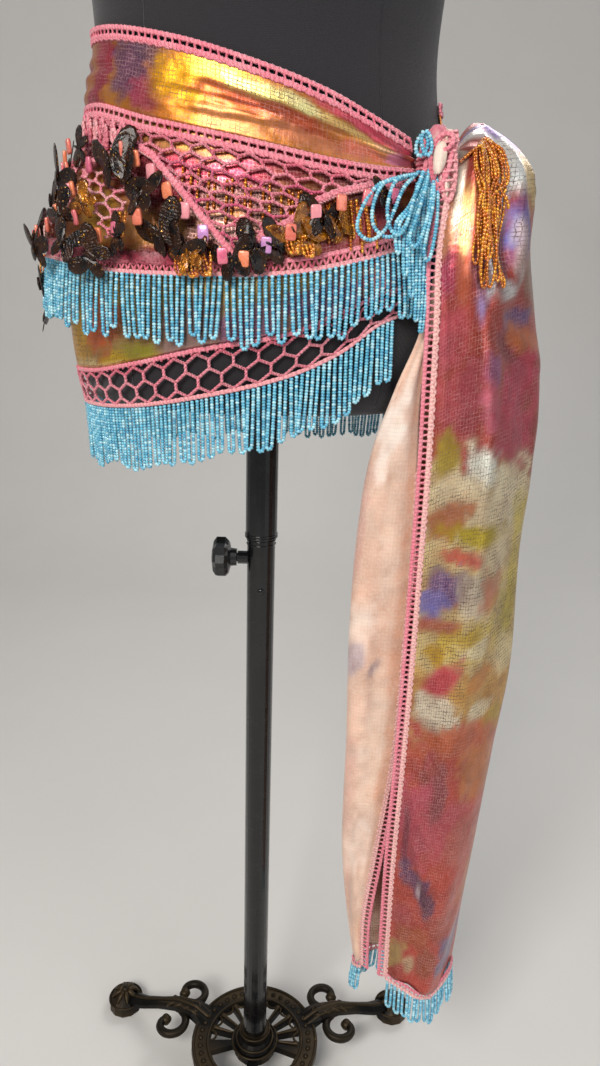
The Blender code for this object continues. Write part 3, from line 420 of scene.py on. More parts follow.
# finishes
def tint(code):
    # display colour as six hexadecimal digits to scene colour
    values = [int(code[k:k + 2], 16) / 255 for k in (0, 2, 4)]
    return np.array([v / 12.92 if v <= 0.04045 else ((v + 0.055) / 1.055) ** 2.4 for v in values])


def feed(socket, value):
    # value is another socket, a colour's code or plain numbers
    if hasattr(value, "is_linked"):
        socket.id_data.links.new(value, socket)
    else:
        socket.default_value = (*tint(value), 1.0) if isinstance(value, str) else value


def node(tree, kind, inputs=None, **settings):
    new = tree.nodes.new("ShaderNode" + kind)
    for key, value in settings.items():
        setattr(new, key, value)
    for key, value in (inputs or {}).items():
        feed(new.inputs[key], value)
    return new.outputs


def newFinish(name):
    # a material, with places in space and places on the cloth
    made = bpy.data.materials.new(name)
    made.use_nodes = True
    return made, node(made.node_tree, "TexCoord")["Object"], node(made.node_tree, "TexCoord")["UV"]


def setShader(made, values):
    for key, value in values.items():
        feed(made.node_tree.nodes["Principled BSDF"].inputs[key], value)
    return made


def dyeOf(made):
    return node(made.node_tree, "Attribute", attribute_name="dye")["Color"]


def mixColour(factor, first, second, blend="MIX"):
    inputs = {0: factor, 6: first, 7: second}
    return node(factor.id_data, "Mix", inputs, data_type="RGBA", blend_type=blend)[2]


def spread(source, low, high, fromLow=0.0, fromHigh=1.0):
    inputs = {"Value": source, "From Min": fromLow, "From Max": fromHigh, "To Min": low, "To Max": high}
    return node(source.id_data, "MapRange", inputs)["Result"]


def maths(operation, first, second):
    return node(first.id_data, "Math", {0: first, 1: second}, operation=operation)[0]


def times(first, second):
    return maths("MULTIPLY", first, second)


def larger(first, second):
    return maths("MAXIMUM", first, second)


def grey(colour):
    return node(colour.id_data, "RGBToBW", {"Color": colour})["Val"]


def stretched(where, scale):
    return node(where.id_data, "Mapping", {"Vector": where, "Scale": scale})["Vector"]


def noise(where, scale, detail=3.0, roughness=0.55, distortion=0.0):
    inputs = {"Vector": where, "Scale": scale, "Detail": detail, "Roughness": roughness,
              "Distortion": distortion}
    return node(where.id_data, "TexNoise", inputs)["Fac"]


def waves(where, period, direction, distortion=0.0, detailScale=1.0):
    # bands a period apart, in the units of where
    inputs = {"Vector": where, "Scale": math.tau / (20 * period), "Distortion": distortion,
              "Detail": 2.0, "Detail Scale": detailScale}
    return node(where.id_data, "TexWave", inputs, bands_direction=direction)["Fac"]


def weaving(where, period, second=None, distortion=0.0):
    # threads both ways
    return larger(waves(where, period, "X", distortion), waves(where, second or period, "Y", distortion))


def bump(height, strength, distance, under=None):
    inputs = {"Height": height, "Strength": strength, "Distance": distance}
    if under:
        inputs["Normal"] = under
    return node(height.id_data, "Bump", inputs)["Normal"]


def brush(where, wide, fine):
    # short strokes, for breaks in the print and for painted glints
    return noise(stretched(where, (wide, fine, 1.0)), 1.0, 3.0, 0.6)


def foilFinish(name, foil):
    # metal-printed cloth: dark broken threads cross its pale areas, and painted highlight, as glint streaks
    # and a few bright threads, lies over its deep areas
    made, spot, weave = newFinish(name)
    dye = dyeOf(made)
    pale = grey(dye)
    deepShare = spread(pale, 1.0, 0.0, 0.10, 0.40)
    hatches = [spread(waves(weave, foil["hatch"] * size, direction, 3.4, 1.6), 0.0, 1.0, 0.78, 0.96)
               for size, direction in ((1.0, "X"), (1.15, "Y"))]
    dashes = times(larger(*hatches), spread(brush(weave, 160.0, 460.0), 0.15, 1.0, 0.38, 0.56))
    glints = larger(brush(weave, 1300.0, 90.0), brush(weave, 240.0, 1100.0))
    patchy = spread(noise(spot, 46.0, 3.0, 0.6), 0.35, 1.0, 0.36, 0.58)
    worn = times(dashes, times(patchy, spread(pale, 0.0, 1.0, 0.16, 0.42)))
    # painted highlight: glint streaks and bright threads, screened onto the deep colours in the shine colour
    glintStrokes = spread(glints, 0.0, foil["glintStrength"], 0.56, 0.74)
    foilGlints = times(larger(glintStrokes, times(times(dashes, patchy), foil["threadGlint"])), deepShare)
    blots = spread(noise(spot, 42.0, 4.0, 0.6, 0.6), 0.0, foil["mottle"], 0.42, 0.72)
    printAndGlints = mixColour(foilGlints, mixColour(blots, dye, foil["shadow"], "MULTIPLY"), foil["shine"], "SCREEN")
    crumpled = bump(noise(spot, 26.0, 3.0, 0.5, 0.6), foil["crumple"], 0.006)
    woven = bump(weaving(weave, foil["thread"]), 0.12, 0.0003, crumpled)
    return setShader(made, {
        "Base Color": mixColour(times(worn, foil["lineDepth"]), printAndGlints, foil["line"]),
        "Roughness": spread(maths("ADD", glints, times(worn, 0.5)), foil["smooth"], foil["rough"], 0.4, 1.0),
        "Metallic": spread(worn, foil["metal"], foil["metal"] * 0.35),
        "Normal": bump(worn, 0.2, 0.0003, woven), "Sheen Weight": 0.05, "Sheen Roughness": 0.4})


def plainClothFinish(name, cloth):
    # thin woven cloth seen from its dull side, with the print showing through
    made, spot, weave = newFinish(name)
    stain = spread(noise(spot, 38.0, 4.0, 0.6, 0.5), 0.0, 0.5, 0.42, 0.72)
    slub = spread(noise(spot, 420.0, 2.0), 0.0, 0.25, 0.4, 0.8)
    base = mixColour(slub, mixColour(stain, dyeOf(made), cloth["stain"], "MULTIPLY"), cloth["pale"])
    faint = spread(weaving(weave, 0.0031, 0.0036, 2.0), 0.0, 0.16, 0.9, 0.98)
    uneven = bump(noise(spot, 55.0, 4.0, 0.6), 0.35, 0.004)
    return setShader(made, {
        "Base Color": mixColour(faint, base, cloth["line"]),
        "Normal": bump(weaving(weave, cloth["thread"]), 0.3, 0.0004, uneven),
        "Roughness": spread(stain, cloth["rough"], cloth["rough"] - 0.12),
        "Sheen Weight": 0.3, "Sheen Roughness": 0.5})


def yarnFinish(name, yarn):
    # mercerised crochet cotton: plies that run round it, fuzz, and painted shade in the hollows between its
    # plies
    made, spot, weave = newFinish(name)
    plies = waves(stretched(weave, (1.0, yarn["ply"], 1.0)), yarn["ply"], "DIAGONAL")
    fuzz = noise(spot, 900.0)
    base = mixColour(spread(noise(spot, 60.0), 0.0, 0.45, 0.4, 0.75), dyeOf(made), yarn["pale"])
    return setShader(made, {
        # painted shade: the deep colour is multiplied into the grooves between the plies
        "Base Color": mixColour(spread(plies, 0.35, 0.0, 0.0, 0.6), base, yarn["deep"], "MULTIPLY"),
        "Normal": bump(fuzz, 0.35, 0.0006, bump(plies, 0.5, 0.0006)),
        "Roughness": spread(fuzz, 0.62, 0.85), "Sheen Weight": 0.35, "Sheen Roughness": 0.35})


def glassFinish(name, bead):
    # small moulded beads: colour from bead to bead, a soft cloud inside, a bright coat
    made, spot, _ = newFinish(name)
    cloud = noise(spot, bead["cloudScale"], 3.0, 0.6)
    return setShader(made, {
        "Base Color": mixColour(spread(cloud, 0.0, bead["cloud"], 0.45, 0.75), dyeOf(made), bead["pale"]),
        "Roughness": spread(cloud, bead["smooth"], bead["rough"], 0.3, 0.7),
        "Normal": bump(noise(spot, bead["grain"], 2.0), bead["bump"], 0.0006),
        "Metallic": bead["metal"], "Coat Weight": bead["coat"], "Coat Roughness": 0.08})


def knitFinish(name, knit):
    made, spot, weave = newFinish(name)
    fluff = noise(spot, 650.0, 4.0, 0.7)
    base = mixColour(spread(fluff, 0.0, 0.6, 0.4, 0.8), knit["dark"], knit["light"])
    ribs = times(waves(weave, knit["rib"], "X"), waves(weave, knit["course"], "Y"))
    return setShader(made, {
        "Base Color": mixColour(spread(noise(spot, 9.0), 0.0, 0.5, 0.35, 0.7), base, knit["faded"]),
        "Normal": bump(fluff, 0.2, 0.0006, bump(ribs, 0.45, 0.0005)),
        "Roughness": spread(fluff, 0.82, 0.96), "Sheen Weight": 0.25, "Sheen Roughness": 0.45})


def sequinFinish(name, sequin):
    # dark pressed sequins: ribs that run out from the middle, and painted glints, a scatter of facets turned
    # bright gold metal
    made, spot, weave = newFinish(name)
    cells = node(made.node_tree, "TexVoronoi", {"Vector": spot, "Scale": sequin["facets"]})
    sparkle = spread(cells["Distance"], 0.0, 1.0, 0.0, 0.6)
    chosen = spread(grey(cells["Color"]), 0.0, 1.0, 0.48, 0.60)
    # painted glints: chosen facets, near their middles, take the glint colour and turn to metal
    glintFlecks = times(spread(sparkle, 1.0, 0.0, 0.10, 0.42), chosen)
    tone = mixColour(spread(noise(spot, 120.0, 2.0), 0.0, 1.0, 0.35, 0.7), sequin["dark"], sequin["warm"])
    ribs = bump(waves(weave, sequin["rib"], "DIAGONAL", 6.0, 0.8), 0.6, 0.0007)
    return setShader(made, {
        "Base Color": mixColour(glintFlecks, tone, sequin["glint"]),
        "Metallic": spread(glintFlecks, sequin["metal"], 1.0), "Normal": bump(sparkle, 0.5, 0.0008, ribs),
        "Roughness": spread(sparkle, 0.10, 0.26), "Specular IOR Level": 0.2,
        "Coat Weight": sequin["coat"], "Coat Roughness": 0.06})


def enamelFinish(name, enamel):
    # stoved enamel on steel tube: faint drag lines, dust, rubbed where it slides
    made, spot, _ = newFinish(name)
    lines = noise(stretched(spot, (1.0, 1.0, 0.06)), enamel["line"])
    dust = noise(spot, enamel["dust"], 5.0, 0.7)
    base = mixColour(spread(dust, 0.0, enamel["dusty"], 0.5, 0.85), enamel["dark"], enamel["pale"])
    return setShader(made, {
        "Base Color": mixColour(spread(lines, 0.0, 0.4, 0.55, 0.8), base, enamel["rub"]),
        "Roughness": spread(dust, enamel["smooth"], enamel["rough"]),
        "Normal": bump(lines, 0.12, 0.0006, bump(dust, 0.08, 0.0008)),
        "Metallic": enamel["metal"], "Coat Weight": enamel["coat"], "Coat Roughness": 0.12})


def castFinish(name, cast):
    # sand-cast iron: grain, a bronze rub on what stands proud, and patches of brown at random
    made, spot, _ = newFinish(name)
    grain = noise(spot, 520.0, 4.0, 0.7)
    lumps = noise(spot, 60.0, 4.0, 0.6)
    rubbed = spread(node(made.node_tree, "NewGeometry")["Pointiness"], 0.0, 0.55, 0.53, 0.66)
    base = mixColour(spread(lumps, 0.0, 0.6, 0.35, 0.75), cast["dark"], cast["brown"])
    return setShader(made, {
        "Base Color": mixColour(rubbed, base, cast["bronze"]), "Roughness": spread(grain, 0.34, 0.62),
        "Normal": bump(grain, 0.30, 0.0007, bump(lumps, 0.25, 0.0020)), "Metallic": 0.75})


finish = {
    # the foil's painted highlight: its bright threads and glint streaks are set below, and shine is its
    # colour
    "foil": foilFinish("foilCloth", {
        "hatch": 0.0027, "thread": 0.00062, "mottle": 0.40, "threadGlint": 0.8, "lineDepth": 0.85, "crumple": 0.3,
        "shadow": "a88078", "shine": "b48884", "line": "43302c", "glintStrength": 0.9, "smooth": 0.26, "rough": 0.48,
        "metal": 0.72}),
    "reverse": plainClothFinish("clothReverse", {
        "stain": "e8c8b4", "pale": "fff2e6", "line": "b08878", "thread": 0.00062, "rough": 0.72}),
    # deep is the colour of the painted shade between the plies
    "crochet": yarnFinish("crochetCotton", {"ply": 0.0016, "pale": "f2b8bc", "deep": "9c3a50"}),
    "turquoise": glassFinish("turquoiseGlass", {
        "cloud": 0.35, "cloudScale": 500.0, "pale": "c4ecf6", "smooth": 0.14, "rough": 0.32,
        "grain": 900.0, "bump": 0.15, "metal": 0.0, "coat": 0.8}),
    "shell": glassFinish("shellBeads", {
        "cloud": 0.3, "cloudScale": 260.0, "pale": "ffb8a8", "smooth": 0.18, "rough": 0.36,
        "grain": 420.0, "bump": 0.25, "metal": 0.15, "coat": 0.7}),
    "amber": glassFinish("amberGlass", {
        "cloud": 0.35, "cloudScale": 420.0, "pale": "ffc860", "smooth": 0.08, "rough": 0.24,
        "grain": 700.0, "bump": 0.2, "metal": 0.45, "coat": 1.0}),
    "form": knitFinish("formKnit", {
        "dark": "17151a", "light": "2c292d", "faded": "211d20", "rib": 0.0013, "course": 0.0010}),
    # glint is the colour of the painted glints on the sequins' facets
    "sequin": sequinFinish("wingSequins", {
        "rib": 0.0016, "facets": 420.0, "dark": "050406", "warm": "381c08", "glint": "e0a040", "metal": 0.10,
        "coat": 0.30}),
    "amberSequin": sequinFinish("amberWings", {
        "rib": 0.0016, "facets": 560.0, "dark": "5c2c06", "warm": "c47a18", "glint": "ffdc90", "metal": 0.5,
        "coat": 0.5}),
    "tube": enamelFinish("poleEnamel", {
        "line": 260.0, "dust": 70.0, "dusty": 0.30, "dark": "101012", "pale": "3a3835", "rub": "28282a",
        "smooth": 0.16, "rough": 0.36, "metal": 0.55, "coat": 0.6}),
    "plastic": enamelFinish("knobPlastic", {
        "line": 420.0, "dust": 160.0, "dusty": 0.25, "dark": "0c0c0d", "pale": "363636", "rub": "1a1a1b",
        "smooth": 0.26, "rough": 0.44, "metal": 0.0, "coat": 0.3}),
    "iron": castFinish("castIron", {"dark": "0e0d0c", "brown": "1e1a15", "bronze": "6e5a3c"}),
}
print("finishes made")


# black dress form in stretched knit: height, half width, half depth, how far its middle lies back
formRows = np.array((
    (775.2, 127, 86, 0), (776.5, 138, 95, 0), (781, 145, 101, 0), (790, 151, 107.5, 0), (810, 155.5, 112, 0),
    (840, 159, 116, 0), (880, 158, 115, 0), (920, 152, 110, 0), (960, 143, 103, 0), (1000, 135, 97, 0),
    (1030, 131.5, 94, 0), (1060, 132, 95, 0), (1100, 136, 99, -2), (1150, 146, 107, -5),
    (1200, 154.5, 115, -8), (1245, 157, 116, -9), (1290, 158, 106, -4), (1330, 160, 95, 0),
    (1360, 157, 85, 2), (1385, 143, 75, 4), (1405, 116, 65, 6), (1422, 85, 56, 8), (1438, 63, 52, 9),
    (1460, 55, 50, 9), (1485, 53, 49, 8),
)) / 1000
formLook = {"columns": 96, "rows": 150, "turnedIn": 6, "colour": "222024", "seamColour": "1c1a1d",
            "seams": (-90, 90, -38, 38, 142, -142, 180), "seamHalf": 0.0007, "sunk": 0.0003}


def formPoint(turn, height, inset=0.0):
    wide, deep, back = (rowValue(formRows, height, k) for k in (1, 2, 3))
    angle = np.radians(turn)
    return np.stack([(wide - inset) * np.sin(angle), back - (deep - inset) * np.cos(angle), height], -1)


def formShape(around, up):
    # the lowest rows follow its turned-in edge closely
    row, turnedIn = up * formLook["rows"], formLook["turnedIn"]
    edge = straightValue([(k, formRows[k][0]) for k in range(4)], row / 2)
    above = (row - turnedIn) / (formLook["rows"] - turnedIn)
    height = np.where(row < turnedIn, edge, mixValue(formRows[3][0], formRows[-1][0], above))
    return formPoint(360.0 * around, height), np.stack([around * 0.9, height], 1), tint(formLook["colour"])


def formSeams():
    # princess seams, side seams and back seam stand a little proud
    heap = newHeap()
    height = np.linspace(0.783, 1.43, 220)
    for turn in formLook["seams"]:
        outward = np.array([np.sin(np.radians(turn)), -np.cos(np.radians(turn)), 0.0])
        points = formPoint(turn, height, formLook["sunk"])
        addTube(heap, points, outward, formLook["seamHalf"], 5, tint(formLook["seamColour"]))
    heapPiece("formSeams", heap, "form")


closedPiece("formBody", formLook["columns"], formLook["rows"], formShape, "form", "dress_form")
formSeams()
print("dress form covered")


# cloth of the belt
def paintBlots(cloth, u, v, x, y, seed, grain=(0.014, 0.0045)):
    # x and y in metres give the blots ragged edges
    colour = np.tile(tint(cloth["base"]), (len(u), 1))
    coarse, fine = grain
    wide = cloudNoise(x / coarse, y / coarse, seed)
    small = cloudNoise(x / fine + 7.3, y / fine, seed + 1)
    for k, (middleU, middleV, halfU, halfV, code, *rest) in enumerate(cloth["blots"]):
        strength, slant = rest + [0.9, 0.0][len(rest):]
        wanderU = 0.75 * cloudNoise(x / coarse * 0.6 + 3.1 * k, y / coarse * 0.6, seed + 2)
        wanderV = 0.75 * cloudNoise(x / coarse * 0.6, y / coarse * 0.6 + 2.3 * k, seed + 3)
        across = np.abs((u - middleU) / halfU + wanderU)
        up = np.abs((v - middleV - slant * (u - middleU)) / halfV + wanderV)
        away = (across**2.6 + up**2.6) ** (1 / 2.6)
        shift = cloudNoise(x / coarse + 3.1 * k, y / coarse + 1.7 * k, seed + 4)
        mask = strength * ramp(-0.05, 0.60, 1.20 - away + 0.5 * shift + 0.6 * small)
        colour = mixValue(colour, tint(code), mask[:, None])
    return np.clip(colour * (1.0 + 0.25 * wide + 0.22 * small)[:, None], 0.0, 1.0)


# blots of colour: turn, share up or height, half sizes, colour, then strength if not 0.9 and slant
bandCloth = {
    "size": (0.69, 0.052), "base": "c8782c", "seed": 41, "cells": (260, 22),
    "blots": (
        (-265, 0.5, 22, 0.8, "8e2440"), (-232, 0.4, 16, 0.6, "e0a030"), (-205, 0.6, 15, 0.6, "6a4a80", 0.8),
        (-180, 0.4, 16, 0.7, "b03a3a", 0.8), (-155, 0.6, 14, 0.6, "e6b850"),
        (-130, 0.4, 14, 0.6, "8a3a6a", 0.8), (-105, 0.6, 13, 0.6, "d0702a"), (-84, 0.5, 12, 0.8, "a82c48"),
        (-58, 0.45, 8, 0.9, "a81c3c", 0.95), (-49, 0.1, 7, 0.2, "d88a28"), (-44, 0.5, 8, 0.5, "6c4468"),
        (-34, 0.3, 7, 0.3, "b8405c", 0.85), (-35, 0.8, 7, 0.22, "584058", 0.8),
        (-25, 0.62, 8, 0.4, "f0a818", 0.95), (-20, 0.22, 9, 0.22, "d07c1c", 0.85),
        (-14, 0.84, 9, 0.15, "ffdc50", 0.95), (-10, 0.5, 9, 0.2, "c85c24", 0.9, -0.01),
        # painted highlight: the pale ffe888 here, with fff0a8, f8c878 and f0b890 below, makes one slanting
        # streak of highlight across the band
        (-4, 0.18, 14, 0.15, "d8884c"), (0, 0.78, 14, 0.15, "ffe888", 0.95, -0.004),
        (8, 0.48, 13, 0.16, "b04428", 0.9, -0.01), (14, 0.22, 12, 0.13, "c87850", 0.85, -0.004),
        (18, 0.7, 12, 0.12, "fff0a8", 0.95, -0.008), (24, 0.92, 12, 0.12, "c4384e", 0.95),
        (28, 0.6, 9, 0.1, "f8c878", 0.9, -0.01), (30, 0.3, 10, 0.16, "b4543c"),
        (36, 0.82, 9, 0.24, "c83c54", 0.95), (43, 0.7, 6, 0.3, "d0506a", 0.95),
        (37, 0.46, 5, 0.08, "f0b890", 0.8, -0.01), (42, 0.26, 6, 0.2, "c8708c"), (47, 0.5, 3, 0.4, "b84864"),
    ),
}
skirtCloth = {
    "size": (0.96, 0.098), "base": "b07a3c", "seed": 45, "cells": (270, 24), "folds": 21, "painted": 0.95,
    "above": 0.0085, "under": 0.010,
    "blots": (
        (-270, 0.93, 22, 0.03, "8a2a44"), (-235, 0.94, 18, 0.03, "c8963c"), (-200, 0.92, 20, 0.03, "5e4a78"),
        (-165, 0.94, 18, 0.03, "a43c38"), (-130, 0.93, 16, 0.04, "c89a4a"), (-98, 0.94, 14, 0.04, "8a2c48"),
        (-70, 0.93, 10, 0.03, "d8a46a"), (-62, 0.96, 8, 0.03, "b0304a"), (-48, 0.9, 9, 0.035, "c89a2c", 0.95),
        (-36, 0.95, 10, 0.02, "962038"), (-22, 0.94, 10, 0.03, "8e1f38", 0.95),
        (-6, 0.94, 12, 0.03, "84203a", 0.95), (10, 0.95, 10, 0.02, "9c2a3c"), (-12, 0.905, 9, 0.02, "2c1418"),
        (4, 0.91, 9, 0.02, "3a1a1c"), (22, 0.935, 10, 0.02, "7a2434"), (34, 0.93, 9, 0.03, "a82c48"),
        (-20, 0.885, 26, 0.009, "7c1a2c", 0.95), (14, 0.894, 14, 0.007, "8c1e34"),
        (-42, 0.885, 10, 0.01, "a8324a", 0.8), (54, 0.94, 9, 0.03, "b4405a"),
        (-34, 0.969, 8, 0.008, "d8a048"), (-19, 0.961, 8, 0.007, "dca250"), (-11, 0.955, 6, 0.006, "cc8848"),
        (-24, 0.948, 8, 0.009, "c03850", 0.95), (-6, 0.945, 8, 0.008, "b83850", 0.95),
        (6, 0.95, 7, 0.007, "b04450"), (-50, 0.926, 8, 0.014, "d4a43c", 0.95),
        (-62, 0.936, 7, 0.016, "bc8a2c"), (-4, 0.93, 10, 0.007, "3c2018"), (12, 0.932, 7, 0.01, "74401c"),
        (22, 0.93, 8, 0.012, "8a4a1c"), (31, 0.934, 6, 0.012, "5a2430"),
    ),
}
hemCloth = {
    "size": (0.94, 0.078), "base": "a88a4a", "seed": 49, "cells": (260, 20), "folds": 25, "painted": 0.95,
    "above": 0.0004, "under": 0.016,
    "blots": (
        (-270, 0.9, 20, 0.02, "7a4a70", 0.8), (-230, 0.86, 20, 0.03, "c49a3c"),
        (-190, 0.84, 18, 0.03, "a04a34", 0.8), (-150, 0.83, 20, 0.03, "8a7a3a"),
        (-118, 0.84, 14, 0.03, "b86a2c"), (-92, 0.83, 12, 0.03, "c8963c"),
        (-76, 0.835, 10, 0.04, "e8a41c", 0.95), (-62, 0.825, 7, 0.03, "e0a82c", 0.95),
        (-50, 0.835, 7, 0.03, "d0602a", 0.95), (-41, 0.842, 6, 0.014, "a84c2c"),
        (-30, 0.838, 9, 0.014, "8a6434"), (-44, 0.812, 9, 0.008, "d8b034", 0.95),
        (-30, 0.818, 8, 0.008, "a0982c"), (-18, 0.835, 8, 0.02, "9a7a78", 0.85),
        (0, 0.84, 12, 0.02, "8a5a7a"), (20, 0.855, 12, 0.02, "6a4a74"), (40, 0.88, 12, 0.02, "a04a5a"),
        (-50, 0.806, 18, 0.005, "f4dc9c", 0.8),
    ),
}


def upperBand():
    def place(across, up):
        turn = mixValue(*belt["bandEnds"], across)
        small = 0.0012 * cloudNoise(turn / 7.0 + 5 * up, up * 5.0, 12)
        small = small + 0.0008 * cloudNoise(turn / 2.6, up * 9.0, 13)
        return hipPoint(turn, bandLevel(turn, up), bandOut(turn, up) + small * np.sin(math.pi * up))

    def paint(across, up):
        long, high = bandCloth["size"]
        turn = mixValue(*belt["bandEnds"], across)
        return paintBlots(bandCloth, turn, up, across * long, up * high, bandCloth["seed"])

    return clothPiece("upperBand", *bandCloth["cells"], place, paint, bandCloth["size"], ("foil", "reverse"),
                      "upper_band")


def hungPanel(name, replaced, cloth, lowOf, highOf, outOf):
    # a panel between two levels of the hips, with small uneven folds
    def spot(across, up):
        turn = mixValue(*belt["panelEnds"], across)
        return turn, mixValue(lowOf(turn) + cloth["above"], highOf(turn) + cloth["under"], up)

    def place(across, up):
        turn, height = spot(across, up)
        fold = 0.0011 * cloudNoise(turn / 6.0, up * 3.0, cloth["folds"])
        fold = fold + 0.0006 * cloudNoise(turn / 2.2, up * 7.0, cloth["folds"] + 1)
        return hipPoint(turn, height, outOf(turn, height) + fold * np.sin(math.pi * np.clip(up, 0, 1)))

    def paint(across, up):
        turn, height = spot(across, up)
        return paintBlots(cloth, turn, height, across * cloth["painted"], height, cloth["seed"])

    return clothPiece(name, *cloth["cells"], place, paint, cloth["size"], ("foil", "reverse"), replaced)


def skinOut(turn, height):
    return belt["skin"]


bandPiece = upperBand()
skirtPiece = hungPanel("skirtPanel", "skirt_panel", skirtCloth, skirtEdge, seamLevel, skirtOut)
hemPiece = hungPanel("hemPanel", "hem_panel", hemCloth, hemTop, skirtEdge, skinOut)
print("belt cloth made")


# crochet: yarn drawn in the flat as lengths along and heights, bent round the hips by a place function
rose, roseDeep, rosePale, creamYarn = tint("ee8a9a"), tint("dc6c80"), tint("f4aaae"), tint("f6d2c4")


def hipPlace(start, end, level, baseOf, outOf, squeeze=None):
    # squeeze gives a drawn depth and the level that it is stretched to
    lengths, turns = arcTable(start, end, level)

    def place(s, h, out):
        turn = np.interp(s, lengths, turns)
        height = mixValue(baseOf(turn), squeeze[1](turn), h / squeeze[0]) if squeeze else baseOf(turn) + h
        return hipPoint(turn, height, outOf(turn, height) + out)

    return place, lengths[-1]


def addLadder(heap, place, length, look):
    # two plaited chains with rungs between them and a wavy row of loops under the lower one
    foot, head, lift = look["foot"], look["head"], look["lift"]
    addYarn(heap, place, [(0, head), (length, head)], lift, "border", look["upper"])
    addYarn(heap, place, [(0, foot), (length, foot)], lift, "border", look["lower"])
    count = int(length / look["pitch"])
    for k in range(count + 1):
        s = length * k / count
        lean = 0.0007 * math.sin(2.3 * k)
        addYarn(heap, place, [(s + lean, foot), (s - lean, head)], lift - 0.0002, "rung", look["rung"])
    s = np.linspace(0, length, int(length / 0.0009))
    wave = 0.0008 + look["picot"] * np.abs(np.sin(math.pi * s / (look["pitch"] * 1.35)))
    addYarn(heap, place, np.stack([s, foot - wave], 1), lift, "net", look["lower"])


bandTrim = {"foot": 0.0013, "head": 0.0069, "lift": 0.0010, "pitch": 0.0058, "upper": rose, "lower": rose,
            "rung": roseDeep, "picot": 0.0012}


def bandEdging(name, middle, share, replaced):
    place, length = hipPlace(*belt["bandEnds"], 1.0, lambda turn: rowValue(middle, turn) - belt["edging"] / 2,
                             lambda turn, height: bandOut(turn, share))
    heap = newHeap()
    addLadder(heap, place, length, bandTrim)
    return heapPiece(name, heap, "crochet", replaced)


topEdging = bandEdging("bandTopEdging", bandTop, 1.0, "band_top_edging")
seamEdging = bandEdging("bandSeamEdging", bandSeam, 0.0, "band_seam_edging")

hemNetLook = {
    "depth": 0.0340, "pitch": 0.0186, "lift": 0.0011, "chains": (0.0014, 0.0326), "pegs": (0.0298, 0.0328),
    "levels": (0.0028, 0.0080, 0.0142, 0.0194, 0.0252, 0.0302), "pegPitch": 0.0062,
}


def hemNet(name, start, end, replaced):
    # a row of hexagons between two chains
    look, heap = hemNetLook, newHeap()
    place, length = hipPlace(start, end, 0.82, hemLow, skinOut, (look["depth"], hemTop))
    cells = round(length / look["pitch"])
    pitch = length / cells
    a, b, c, d, e, f = look["levels"]

    def draw(path, yarn, colour):
        addYarn(heap, place, path, look["lift"], yarn, colour)

    for low, high, colour in ((b, a, rose), (c, d, rose), (f, e, roseDeep)):
        draw([(pitch * k / 2, high if k % 2 else low) for k in range(2 * cells + 1)], "net", colour)
    for k in range(cells + 1):
        draw([(pitch * k, b), (pitch * k, c)], "net", rose)
        if k < cells:
            draw([(pitch * (k + 0.5), d), (pitch * (k + 0.5), e)], "net", rose)
    for height, colour in zip(look["chains"], (rosePale, rose)):
        draw([(0, height), (length, height)], "border", colour)
    for k in range(int(length / look["pegPitch"])):
        draw([(look["pegPitch"] * k, height) for height in look["pegs"]], "rung", roseDeep)
    return heapPiece(name, heap, "crochet", replaced)


hemNetFront = hemNet("hemNetFront", -125.0, 60.0, "hem_net_front")
hemNetBack = hemNet("hemNetBack", -288.0, -125.3, "hem_net_back")
print("hem nets crocheted")

# cell in degrees, scale in metres a degree
fanLook = {"row": 0.0067, "rows": 12, "cell": 6.2, "scale": 0.0026, "rise": 0.0013, "border": 0.0016,
           "uneven": 0.30}
netSeed = np.random.default_rng(19)


def fanPlace(s, h, out):
    turn = s / fanLook["scale"]
    return hipPoint(turn, h, netOut(turn, h) + out)


def insideRuns(path, inside):
    # the stretches of a path that lie inside
    runs = np.split(np.arange(len(path)), np.flatnonzero(np.diff(inside)) + 1)
    return [path[run] for run in runs if inside[run[0]] and len(run) > 3]


def fanNet(name, border, colours, lift, replaced=None):
    heap = newHeap()
    first, last = border[0][0] + 0.6, border[-1][0] - 0.6
    half, row, uneven = fanLook["cell"] / 2, fanLook["row"], fanLook["uneven"]
    columns = range(int((last - first) / half) + 3)

    def high(turn):
        return seamLevel(turn) - belt["edging"] / 2 - 0.0006

    def level(turn, j):
        return high(turn) - row * (j + 0.35)

    def draw(path, colour):
        even, _ = resample([(turn * fanLook["scale"], h) for turn, h in path], 0.0011)
        turns = even[:, 0] / fanLook["scale"]
        low = straightValue(border, turns) + fanLook["border"]
        inside = (even[:, 1] > low) & (even[:, 1] < high(turns)) & (turns > first) & (turns < last)
        for run in insideRuns(even, inside):
            addYarn(heap, fanPlace, run, lift, "net", colour)

    knots = {}
    for j in range(fanLook["rows"] + 1):
        for k in columns:
            slipU, slipH = netSeed.random(2) - 0.5
            rise = fanLook["rise"] * (1 if (k + j) % 2 else -1)
            turn = first + half * (k + uneven * slipU * 1.6)
            knots[j, k] = (turn, level(turn, j) + rise + uneven * slipH * row * 0.7)
    for j in range(fanLook["rows"]):
        colour = colours[j % len(colours)]
        draw([knots[j, k] for k in columns], colour)
        for k in columns:
            if (k + j) % 2 == 0:
                draw([knots[j, k], knots[j + 1, k]], colour)
    for k in columns[::2]:  # short posts up to the seam
        turn = first + half * k + half
        draw([(turn, high(turn)), (turn, level(turn, 0) + fanLook["rise"])], roseDeep)
    return heapPiece(name, heap, "crochet", replaced)


def fanBorder(name, border, replaced):
    heap = newHeap()
    path = np.array([(turn * fanLook["scale"], height + fanLook["border"]) for turn, height in border])
    addYarn(heap, fanPlace, path, 0.0016, "thick", rose)
    addYarn(heap, fanPlace, path - [0.0, 0.0026], 0.0012, "net", rosePale)
    return heapPiece(name, heap, "crochet", replaced)


